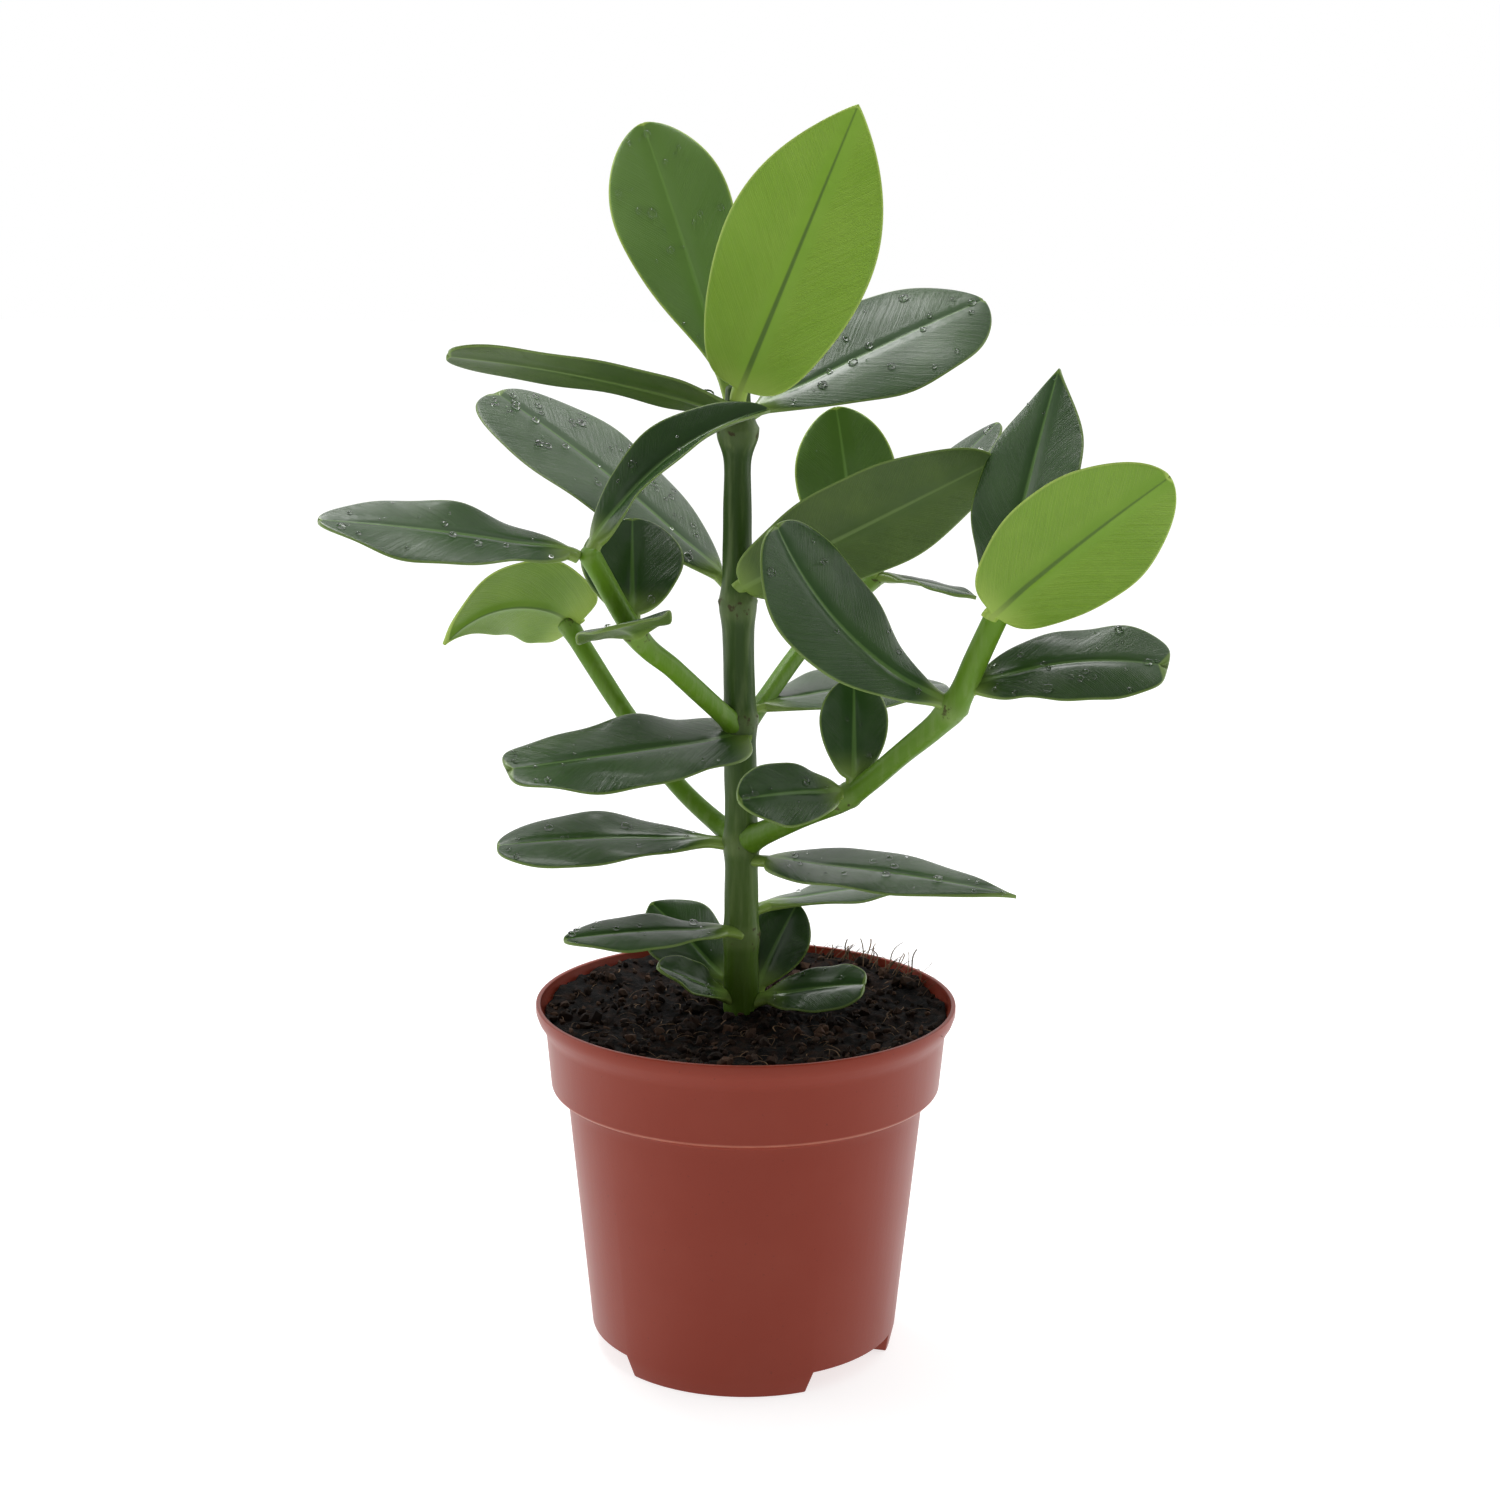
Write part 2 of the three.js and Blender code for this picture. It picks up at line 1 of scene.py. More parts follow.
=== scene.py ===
"""A young autograph tree in a round nursery pot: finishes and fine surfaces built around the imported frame.

Lengths in the tables below are millimetres and angles are degrees. Finished meshes are in metres.
+Z is up, -Y is the front, and the pot stands on z = 0 with its axis on the origin.
"""

import logging
import math
import random
from collections.abc import Callable, Iterable, Sequence
from dataclasses import dataclass
from enum import Enum

import bmesh
import bpy
from bmesh.types import BMEdge, BMesh, BMFace, BMVert
from bpy.types import ID, Material, Mesh, NodeSocket, Object, World
from mathutils import Matrix, Vector, noise

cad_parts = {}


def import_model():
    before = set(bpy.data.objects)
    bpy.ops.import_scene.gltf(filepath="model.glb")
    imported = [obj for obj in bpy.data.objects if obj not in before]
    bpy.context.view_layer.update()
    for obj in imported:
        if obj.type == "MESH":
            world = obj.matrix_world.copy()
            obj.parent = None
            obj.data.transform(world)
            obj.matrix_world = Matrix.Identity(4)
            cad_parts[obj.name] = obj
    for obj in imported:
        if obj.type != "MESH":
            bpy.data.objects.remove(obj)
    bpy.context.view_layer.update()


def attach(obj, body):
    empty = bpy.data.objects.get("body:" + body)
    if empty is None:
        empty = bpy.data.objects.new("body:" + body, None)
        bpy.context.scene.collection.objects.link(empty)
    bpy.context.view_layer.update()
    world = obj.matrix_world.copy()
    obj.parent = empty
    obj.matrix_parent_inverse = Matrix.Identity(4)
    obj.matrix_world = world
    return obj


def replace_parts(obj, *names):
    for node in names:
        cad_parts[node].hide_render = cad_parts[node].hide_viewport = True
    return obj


MM = 0.001
WELD = 1e-6
BODY = "root"
Colour = tuple[float, float, float]

log = logging.getLogger("potted_tree")


# ---- Shader building ----


class Channel:
    """A number that varies over a surface: an output socket with arithmetic on it."""

    def __init__(self, board: "Board", socket: NodeSocket) -> None:
        """Wraps one output socket of a board's material."""
        self.board = board
        self.socket = socket

    def math(
        self, operation: str, *others: "Channel | float", first: "Channel | float | None" = None
    ) -> "Channel":
        """Adds a Math node.

        Args:
            operation: the Math node's operation.
            others: its inputs after the first.
            first: its first input, where that isn't this channel.

        Returns:
            The node's result.
        """
        inputs = (self if first is None else first, *others)
        return self.board.node("ShaderNodeMath", {"operation": operation}, dict(enumerate(inputs)))

    def __add__(self, other: "Channel | float") -> "Channel":
        """Sum."""
        return self.math("ADD", other)

    def __sub__(self, other: "Channel | float") -> "Channel":
        """Difference."""
        return self.math("SUBTRACT", other)

    def __rsub__(self, other: float) -> "Channel":
        """A number less this channel."""
        return self.math("SUBTRACT", self, first=other)

    def __mul__(self, other: "Channel | float") -> "Channel":
        """Product."""
        return self.math("MULTIPLY", other)

    def __truediv__(self, other: "Channel | float") -> "Channel":
        """Quotient."""
        return self.math("DIVIDE", other)

    __radd__ = __add__
    __rmul__ = __mul__

    def size(self) -> "Channel":
        """Value without its sign."""
        return self.math("ABSOLUTE")

    def step(self, low: float, high: float) -> "Channel":
        """Smooth rise from 0 where the value is low to 1 where it is high; low may be the larger."""
        if low > high:
            return 1 - self.step(high, low)
        return self.board.node(
            "ShaderNodeMapRange",
            {"interpolation_type": "SMOOTHSTEP"},
            {"Value": self, "From Min": low, "From Max": high},
        )


class Board:
    """The node tree of a material or a world, and the few ways that nodes are added to it."""

    def __init__(self, name: str, world: World | None = None) -> None:
        """Empties a new material's tree, or the world's, and adds its output."""
        self.owner = world or bpy.data.materials.new(name)
        self.owner.use_nodes = True
        self.tree = self.owner.node_tree
        self.tree.nodes.clear()
        self.output = self.tree.nodes.new(f"ShaderNodeOutput{'World' if world else 'Material'}")

    def node(self, kind: str, settings: dict, sockets: dict, output: int | str = 0) -> Channel:
        """Adds a node.

        Args:
            kind: the node's type.
            settings: its properties, set before its sockets.
            sockets: values or channels by socket name or number.
            output: the output that is returned.

        Returns:
            The chosen output as a channel.
        """
        made = self.tree.nodes.new(kind)
        for name, value in settings.items():
            setattr(made, name, value)
        for key, value in sockets.items():
            self.feed(made.inputs[key], value)
        return Channel(self, made.outputs[output])

    def feed(self, socket: NodeSocket, value: "Channel | float | Sequence[float]") -> None:
        """Links a channel to an input socket, or sets the socket's own value."""
        if isinstance(value, Channel):
            self.tree.links.new(value.socket, socket)
        elif isinstance(value, tuple) and socket.type == "RGBA":
            socket.default_value = (*value, 1.0)
        else:
            socket.default_value = value

    def attribute(self, name: str) -> Channel:
        """A number stored on the mesh's points."""
        return self.node("ShaderNodeAttribute", {"attribute_name": name}, {}, "Fac")

    def place(self, scale: Colour = (1.0, 1.0, 1.0)) -> Channel:
        """Object coordinates, stretched by a factor along each axis."""
        coordinates = self.node("ShaderNodeTexCoord", {}, {}, "Object")
        return self.node("ShaderNodeMapping", {}, {"Vector": coordinates, "Scale": scale})

    def height(self) -> Channel:
        """Height above the ground in millimetres."""
        coordinates = self.node("ShaderNodeTexCoord", {}, {}, "Object")
        return self.node("ShaderNodeSeparateXYZ", {}, {0: coordinates}, "Z") / MM

    def noise(self, grain: float, detail: float = 3.0, stretch: Colour = (1.0, 1.0, 1.0)) -> Channel:
        """Soft noise from 0 to 1.

        Args:
            grain: size of its largest lumps, in millimetres.
            detail: octaves of finer noise.
            stretch: factor on the frequency along each axis.

        Returns:
            The noise.
        """
        return self.node(
            "ShaderNodeTexNoise",
            {},
            {"Vector": self.place(stretch), "Scale": 1.0 / (grain * MM), "Detail": detail},
            "Fac",
        )

    def mix(self, share: "Channel | float", start: "Channel | Colour", end: "Channel | Colour") -> Channel:
        """A colour between start, at share 0, and end, at share 1."""
        return self.node("ShaderNodeMix", {"data_type": "RGBA"}, {"Factor": share, 6: start, 7: end}, 2)

    def bump(self, height: Channel, depth: float, under: Channel | None = None) -> Channel:
        """Surface relief.

        Args:
            height: relief from 0 to 1.
            depth: its real depth, in millimetres.
            under: a relief that this one lies on.

        Returns:
            The shaded normal.
        """
        sockets = {"Height": height, "Distance": depth * MM, "Strength": 1.0}
        if under is not None:
            sockets["Normal"] = under
        return self.node("ShaderNodeBump", {}, sockets)

    def surface(self, sockets: dict) -> Material:
        """Finishes the material with a Principled surface that has these sockets."""
        self.feed(self.output.inputs["Surface"], self.node("ShaderNodeBsdfPrincipled", {}, sockets))
        return self.owner


# ---- Finishes ----


@dataclass(frozen=True)
class PotPlastic:
    """Thin terracotta-coloured plastic, faintly streaked by the mould and flecked, with a painted highlight:
    a pale line round the band's lower edge.
    """

    plain: Colour = (0.235, 0.030, 0.013)
    dusty: Colour = (0.26, 0.045, 0.024)
    soil_stain: Colour = (0.03, 0.012, 0.008)
    painted_ledge_highlight: Colour = (0.46, 0.17, 0.11)
    edge_height: float = 78.3
    gloss: float = 0.36

    def material(self) -> Material:
        """Builds the finish."""
        board = Board("terracotta_plastic")
        cloud = board.noise(26, 4)
        flow = board.noise(7, 3, (1.0, 1.0, 0.12))
        speck = board.noise(0.9, 2).step(0.70, 0.78)
        colour = board.mix(cloud.step(0.35, 0.8) * 0.35 + flow * 0.12, self.plain, self.dusty)
        colour = board.mix(speck * 0.35, colour, self.soil_stain)
        # Painted highlight: a patchy pale line, lighter than the plastic, round the ledge at the band's lower
        # edge, standing in for the light that the ledge catches.
        edge = (board.height() - self.edge_height).size().step(0.75, 0.15)
        colour = board.mix(edge * (flow * 0.6 + 0.25), colour, self.painted_ledge_highlight)
        inside = board.attribute("inside")
        splash = (board.noise(3, 4) * 0.8 + inside * 0.7).step(0.75, 1.0) * inside
        colour = board.mix(splash, colour, self.soil_stain)
        relief = board.bump(board.noise(0.8, 3), 0.015)
        relief = board.bump(flow, 0.05, relief)
        return board.surface({
            "Base Color": colour,
            "Roughness": cloud * 0.1 + flow * 0.06 + (self.gloss - 0.08),
            "Specular IOR Level": 0.22,
            "Normal": relief,
        })


@dataclass(frozen=True)
class Peat:
    """Moist dark peat with lighter brown bits in it."""

    dark: Colour = (0.0022, 0.0016, 0.0015)
    brown: Colour = (0.020, 0.009, 0.005)
    tan: Colour = (0.07, 0.034, 0.018)

    def material(self) -> Material:
        """Builds the finish."""
        board = Board("moist_peat")
        clod = board.noise(3.5, 5)
        bit = board.noise(1.1, 3)
        colour = board.mix(clod.step(0.42, 0.72), self.dark, self.brown)
        colour = board.mix(bit.step(0.66, 0.74) * 0.8, colour, self.tan)
        relief = board.bump(board.noise(0.7, 4), 0.35)
        relief = board.bump(clod, 0.9, relief)
        return board.surface({
            "Base Color": colour,
            "Roughness": 1 - bit * 0.3,
            "Specular IOR Level": 0.12,
            "Normal": relief,
        })


@dataclass(frozen=True)
class Fibre:
    """Pale brown coir, each strand its own shade."""

    name: str
    dark: Colour
    pale: Colour

    def material(self) -> Material:
        """Builds the finish."""
        board = Board(self.name)
        shade = board.attribute("shade") * 0.8 + board.noise(1.5, 2) * 0.2
        colour = board.mix(shade, self.dark, self.pale)
        return board.surface({
            "Base Color": colour,
            "Roughness": 0.9 - shade * 0.2,
            "Specular IOR Level": 0.15,
            "Normal": board.bump(board.noise(0.3, 2), 0.05),
        })


@dataclass(frozen=True)
class GreenBark:
    """Smooth green bark, streaked lengthwise: yellower at the foot, brown at the scars of its joints."""

    name: str
    foot: Colour
    top: Colour
    foot_height: float
    top_height: float
    scar: Colour = (0.045, 0.026, 0.012)
    pale: Colour = (0.30, 0.38, 0.16)

    def material(self) -> Material:
        """Builds the finish."""
        board = Board(self.name)
        streak = board.noise(2.2, 4, (1.0, 1.0, 0.09))
        rise = board.height().step(self.foot_height, self.top_height)
        colour = board.mix(rise, self.foot, self.top)
        colour = board.mix(streak.step(0.45, 0.8) * 0.22, colour, self.pale)
        joint = board.attribute("joint")
        patch = board.noise(2.6, 3)
        colour = board.mix(joint.step(0.2, 0.9) * 0.18, colour, self.pale)
        scarred = (joint * 0.3 + patch).step(0.84, 0.94)
        fleck = board.noise(1.3, 2, (1.0, 1.0, 0.5)).step(0.74, 0.8)
        colour = board.mix(scarred * 0.8 + fleck * 0.4, colour, self.scar)
        relief = board.bump(streak, 0.22)
        relief = board.bump(board.noise(0.6, 3), 0.05, relief)
        return board.surface({
            "Base Color": colour,
            "Roughness": streak * 0.12 + scarred * 0.3 + 0.36,
            "Specular IOR Level": 0.22,
            "Normal": relief,
        })


@dataclass(frozen=True)
class LeafFinish:
    """Thick waxy leaf: glossy above, duller and paler below, with a pale midrib and a thin pale margin."""

    name: str
    upper: Colour
    under: Colour
    deep: Colour
    rib: Colour
    under_rib: Colour
    margin: Colour
    gloss: float
    under_gloss: float
    streak: float
    edge_show: float
    vein_step: float = 1.6

    def material(self) -> Material:
        """Builds the finish."""
        board = Board(self.name)
        across, along = board.attribute("across"), board.attribute("along")
        edge, upper, tone = board.attribute("edge"), board.attribute("upper"), board.attribute("tone")
        cloud = board.noise(15, 3)
        fine = board.noise(1.2, 3)
        vein = along - across.size() * 1.15 + cloud * 3.0
        sockets = {"W": vein / self.vein_step, "Detail": 3.0}
        stripe = board.node("ShaderNodeTexNoise", {"noise_dimensions": "1D"}, sockets, "Fac")
        beside_rib = across.size().step(1.5, 5.0)

        face = board.mix(tone, self.deep, board.mix(upper, self.under, self.upper))
        lighter = board.mix(upper, self.margin, self.rib)
        streaks = stripe.step(0.35, 0.72) * beside_rib
        shade = cloud.step(0.3, 0.75) * 0.12 + streaks * self.streak
        face = board.mix(shade, face, lighter)
        rib_colour = board.mix(upper, self.under_rib, self.rib)
        rib_width = board.attribute("rib")
        rib = (across.size() - rib_width).step(0.35, -0.25)
        face = board.mix(rib * 0.85, face, rib_colour)
        green_foot = along.step(9.0, -3.0)
        face = board.mix(green_foot * 0.75, face, self.margin)
        pale_edge = edge.step(0.75, 0.25)
        face = board.mix(pale_edge * self.edge_show, face, self.margin)

        dull = self.under_gloss - self.gloss
        relief = board.bump(streaks, 0.05)
        relief = board.bump(cloud, 0.5, relief)
        relief = board.bump(fine, 0.02, relief)
        return board.surface({
            "Base Color": face,
            "Roughness": cloud * 0.10 + fine * 0.05 + self.gloss - 0.06 + (1 - upper) * dull,
            "Specular IOR Level": 0.32,
            "Coat Weight": upper * 0.10,
            "Coat Roughness": 0.14,
            "Normal": relief,
        })


@dataclass(frozen=True)
class Water:
    """Clear water standing in drops."""

    def material(self) -> Material:
        """Builds the finish."""
        board = Board("clear_water")
        return board.surface({
            "Base Color": board.mix(board.noise(2, 1), (0.97, 0.985, 0.97), (1.0, 1.0, 1.0)),
            "Roughness": board.noise(1, 1) * 0.04,
            "IOR": 1.33,
            "Transmission Weight": 1.0,
        })


@dataclass(frozen=True)
class StudioPaper:
    """Plain pale paper that fills the ground."""

    pale: Colour = (0.5, 0.5, 0.5)
    glow: float = 0.72

    def material(self) -> Material:
        """Builds the finish."""
        board = Board("studio_paper")
        return board.surface({
            "Base Color": self.pale,
            "Roughness": 0.95,
            "Specular IOR Level": 0.0,
            "Emission Color": (1.0, 1.0, 1.0),
            "Emission Strength": self.glow,
        })


class LeafSkin(Enum):
    """The two ages of leaf on the plant, by the record's slot names."""

    DARK = "dark_leaf"
    YOUNG = "young_leaf"


LEAF_FINISHES = {
    LeafSkin.DARK: LeafFinish(
        "dark_waxy_leaf",
        upper=(0.026, 0.068, 0.015),
        under=(0.062, 0.118, 0.015),
        deep=(0.013, 0.040, 0.007),
        rib=(0.09, 0.18, 0.04),
        under_rib=(0.13, 0.21, 0.05),
        margin=(0.24, 0.36, 0.07),
        gloss=0.23,
        under_gloss=0.42,
        streak=0.10,
        edge_show=0.5,
    ),
    LeafSkin.YOUNG: LeafFinish(
        "young_waxy_leaf",
        upper=(0.15, 0.28, 0.055),
        under=(0.185, 0.36, 0.014),
        deep=(0.040, 0.100, 0.008),
        rib=(0.18, 0.33, 0.07),
        under_rib=(0.055, 0.12, 0.008),
        margin=(0.40, 0.55, 0.10),
        gloss=0.30,
        under_gloss=0.40,
        streak=0.24,
        edge_show=0.8,
    ),
}


# ---- Meshes ----


def polar(radius: float, turn: float, height: float = 0.0) -> Vector:
    """Point at a distance from the pot's axis and a turn about it, in radians."""
    return Vector((radius * math.cos(turn), radius * math.sin(turn), height))


def only(items: Iterable, kind: type) -> list:
    """The items of a mesh that are of one kind."""
    return [item for item in items if isinstance(item, kind)]


def add_object(name: str, data: ID) -> Object:
    """Puts data into the scene as a new object."""
    made = bpy.data.objects.new(name, data)
    bpy.context.scene.collection.objects.link(made)
    return made


def mesh_from(made: BMesh, name: str) -> Mesh:
    """Turns a bmesh into a mesh, and frees it."""
    mesh = bpy.data.meshes.new(name)
    made.to_mesh(mesh)
    made.free()
    return mesh


def ring_loft(sides: int, rings: int, place: Callable[[int, float], dict], names: Sequence[str]) -> BMesh:
    """Draws a closed tube by extruding a circle from ring to ring.

    Args:
        sides: points round a ring.
        rings: number of rings; the first and last are single points, and close the ends.
        place: gives, for a ring and a turn round it in radians, the point and the value of each named number.
        names: the numbers that are stored on the points.

    Returns:
        The tube, in metres, with its faces outwards.
    """
    tube = bmesh.new()
    turn_layer = tube.verts.layers.float.new("turn")
    layers = {name: tube.verts.layers.float.new(name) for name in names}
    made = bmesh.ops.create_circle(tube, cap_ends=False, segments=sides, radius=1.0)["verts"]
    for vert in made:
        vert[turn_layer] = math.atan2(vert.co.y, vert.co.x)
    edges = list(tube.edges)
    for ring in range(rings):
        if ring:
            grown = bmesh.ops.extrude_edge_only(tube, edges=edges)["geom"]
            made = only(grown, BMVert)
            fresh = set(made)
            edges = [edge for edge in only(grown, BMEdge) if fresh.issuperset(edge.verts)]
        for vert in made:
            values = place(ring, vert[turn_layer])
            vert.co = values["point"] * MM
            for name, layer in layers.items():
                vert[layer] = values[name]
    tube.verts.layers.float.remove(tube.verts.layers.float["turn"])
    bmesh.ops.remove_doubles(tube, verts=tube.verts, dist=WELD)
    bmesh.ops.recalc_face_normals(tube, faces=tube.faces)
    return tube


def piece_from(made: BMesh, name: str, material: Material) -> Object:
    """Turns a bmesh into a smooth-shaded piece that rides on the frame.

    Args:
        made: the mesh, in metres and in place; it is freed.
        name: the piece's name.
        material: its finish.

    Returns:
        The piece.
    """
    mesh = mesh_from(made, name)
    mesh.materials.append(material)
    mesh.shade_smooth()
    piece = add_object(name, mesh)
    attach(piece, BODY)
    log.info("%s: %d faces", name, len(mesh.polygons))
    return piece


def blend(start: float, end: float, share: float) -> float:
    """Number between start and end."""
    return start + (end - start) * share


def bell(offset: float, half: float) -> float:
    """Smooth bump: 1 at no offset, fading over the half width."""
    return math.exp(-((offset / half) ** 2))


def ease(value: float, low: float, high: float) -> float:
    """Smooth rise from 0 at low to 1 at high."""
    share = min(1.0, max(0.0, (value - low) / (high - low)))
    return share * share * (3 - 2 * share)


# ---- Pot ----


@dataclass
class Pot:
    """Thin-walled pot with a rim band, standing on three feet."""

    height: float = 102.5
    rim: float = 60.0
    lip: float = 58.7
    floor_under: float = 6.0
    floor_top: float = 7.3
    foot_inner: float = 36.0
    foot_outer: float = 42.9
    wall_foot: float = 44.25
    feet: int = 3
    first_gap: float = 319.0
    gap_half_top: float = 22.5
    gap_half_ground: float = 25.0
    steps: int = 240
    drains: int = 6
    drain_radius: float = 3.5
    drain_circle: float = 24.0
    rounding: float = 0.32
    sharp_edge: float = 32.0
    shading_edge: float = 38.0
    inner_slope: float = 0.28
    outside: tuple = ((50.9, 73.0), (51.6, 76.2), (53.1, 77.5), (55.2, 78.0), (55.7, 78.5), (57.1, 94.0),
                      (57.9, 96.2), (59.3, 98.4), (60.0, 100.4))
    inside: tuple = ((58.7, 100.6), (56.7, 97.2), (55.8, 94.3), (54.1, 79.7), (50.8, 78.6), (49.6, 74.0))

    def outline(self) -> list[tuple[float, float]]:
        """Radius and height round the wall, from the middle of the underside to the middle of the floor."""
        return [
            (0.0, self.floor_under),
            (self.foot_inner, self.floor_under),
            (self.wall_foot, self.floor_under),
            *self.outside,
            (self.rim, self.height),
            (self.lip, self.height),
            *self.inside,
            (self.foot_outer, self.floor_top),
            (0.0, self.floor_top),
        ]

    def spun_wall(self) -> BMesh:
        """Spins the outline into the pot's body, still without feet."""
        pot = bmesh.new()
        start = math.radians(self.first_gap - self.gap_half_top)
        verts = [pot.verts.new(polar(radius, start, height) * MM) for radius, height in self.outline()]
        edges = [pot.edges.new(pair) for pair in zip(verts, verts[1:])]
        bmesh.ops.spin(
            pot, geom=verts + edges, cent=(0, 0, 0), axis=(0, 0, 1), angle=2 * math.pi,
            steps=self.steps, use_merge=True,
        )
        bmesh.ops.remove_doubles(pot, verts=pot.verts, dist=WELD)
        bmesh.ops.recalc_face_normals(pot, faces=pot.faces)
        return pot

    def on_foot(self, face: BMFace) -> bool:
        """Whether a face of the underside lies over a foot."""
        middle = face.calc_center_median() / MM
        radius = math.hypot(middle.x, middle.y)
        if abs(middle.z - self.floor_under) > 0.01 or radius < self.foot_inner or radius > self.wall_foot:
            return False
        turn = (math.degrees(math.atan2(middle.y, middle.x)) - self.first_gap) % (360 / self.feet)
        return self.gap_half_top < turn < 360 / self.feet - self.gap_half_top

    def pull_feet(self, pot: BMesh) -> None:
        """Extrudes the feet down from the underside, tapering them towards the ground."""
        faces = [face for face in pot.faces if self.on_foot(face)]
        grown = bmesh.ops.extrude_face_region(pot, geom=faces)["geom"]
        bmesh.ops.delete(pot, geom=faces, context="FACES_ONLY")
        pitch = 360 / self.feet
        shrink = (pitch / 2 - self.gap_half_ground) / (pitch / 2 - self.gap_half_top)
        for vert in only(grown, BMVert):
            radius = min(self.foot_outer, math.hypot(vert.co.x, vert.co.y) / MM)
            compass = math.degrees(math.atan2(vert.co.y, vert.co.x))
            turn = (compass - self.first_gap) % pitch
            vert.co = polar(radius, math.radians(compass + (turn - pitch / 2) * (shrink - 1))) * MM
        bmesh.ops.recalc_face_normals(pot, faces=pot.faces)

    def sharp_rings(self, pot: BMesh) -> list[BMEdge]:
        """Edges where the wall turns sharply, which get a small rounding."""
        sharp = math.radians(self.sharp_edge)
        return [edge for edge in pot.edges if edge.is_manifold and edge.calc_face_angle() > sharp]

    def drilled(self, piece: Object) -> None:
        """Cuts the drain holes through the floor."""
        bits = bmesh.new()
        radius = self.drain_radius * MM
        depth = 3 * (self.floor_top - self.floor_under) * MM
        for hole in range(self.drains):
            turn = math.radians(hole * 360 / self.drains)
            place = polar(self.drain_circle, turn, (self.floor_under + self.floor_top) / 2)
            bmesh.ops.create_cone(
                bits, cap_ends=True, segments=32, radius1=radius, radius2=radius, depth=depth,
                matrix=Matrix.Translation(place * MM),
            )
        cutter = add_object("drain_bits", mesh_from(bits, "drain_bits"))
        cut = piece.modifiers.new("drains", "BOOLEAN")
        cut.operation, cut.solver, cut.object = "DIFFERENCE", "EXACT", cutter
        bpy.context.view_layer.update()
        evaluated = piece.evaluated_get(bpy.context.evaluated_depsgraph_get())
        drilled = bpy.data.meshes.new_from_object(evaluated)
        piece.modifiers.clear()
        piece.data = drilled
        bpy.data.objects.remove(cutter)

    def mark_inside(self, pot: BMesh) -> None:
        """Stores how far inside the rim each point is, for the soil that clings there."""
        layer = pot.verts.layers.float.new("inside")
        for vert in pot.verts:
            radius = math.hypot(vert.co.x, vert.co.y) / MM
            height = vert.co.z / MM
            wall = self.lip - (self.height - height) * self.inner_slope
            within = 1 - ease(radius - wall, -0.4, 0.5)
            vert[layer] = within * ease(height, 60, 80)

    def build(self) -> None:
        """Makes the pot in place of its plain node."""
        pot = self.spun_wall()
        self.pull_feet(pot)
        bmesh.ops.bevel(
            pot, geom=self.sharp_rings(pot), offset=self.rounding * MM, segments=3, profile=0.5,
            affect="EDGES", material=-1,
        )
        self.mark_inside(pot)
        piece = piece_from(pot, "pot_shell", PotPlastic().material())
        self.drilled(piece)
        piece.data.shade_smooth()
        piece.data.set_sharp_from_angle(angle=math.radians(self.shading_edge))
        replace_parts(piece, "pot")


# ---- Soil ----


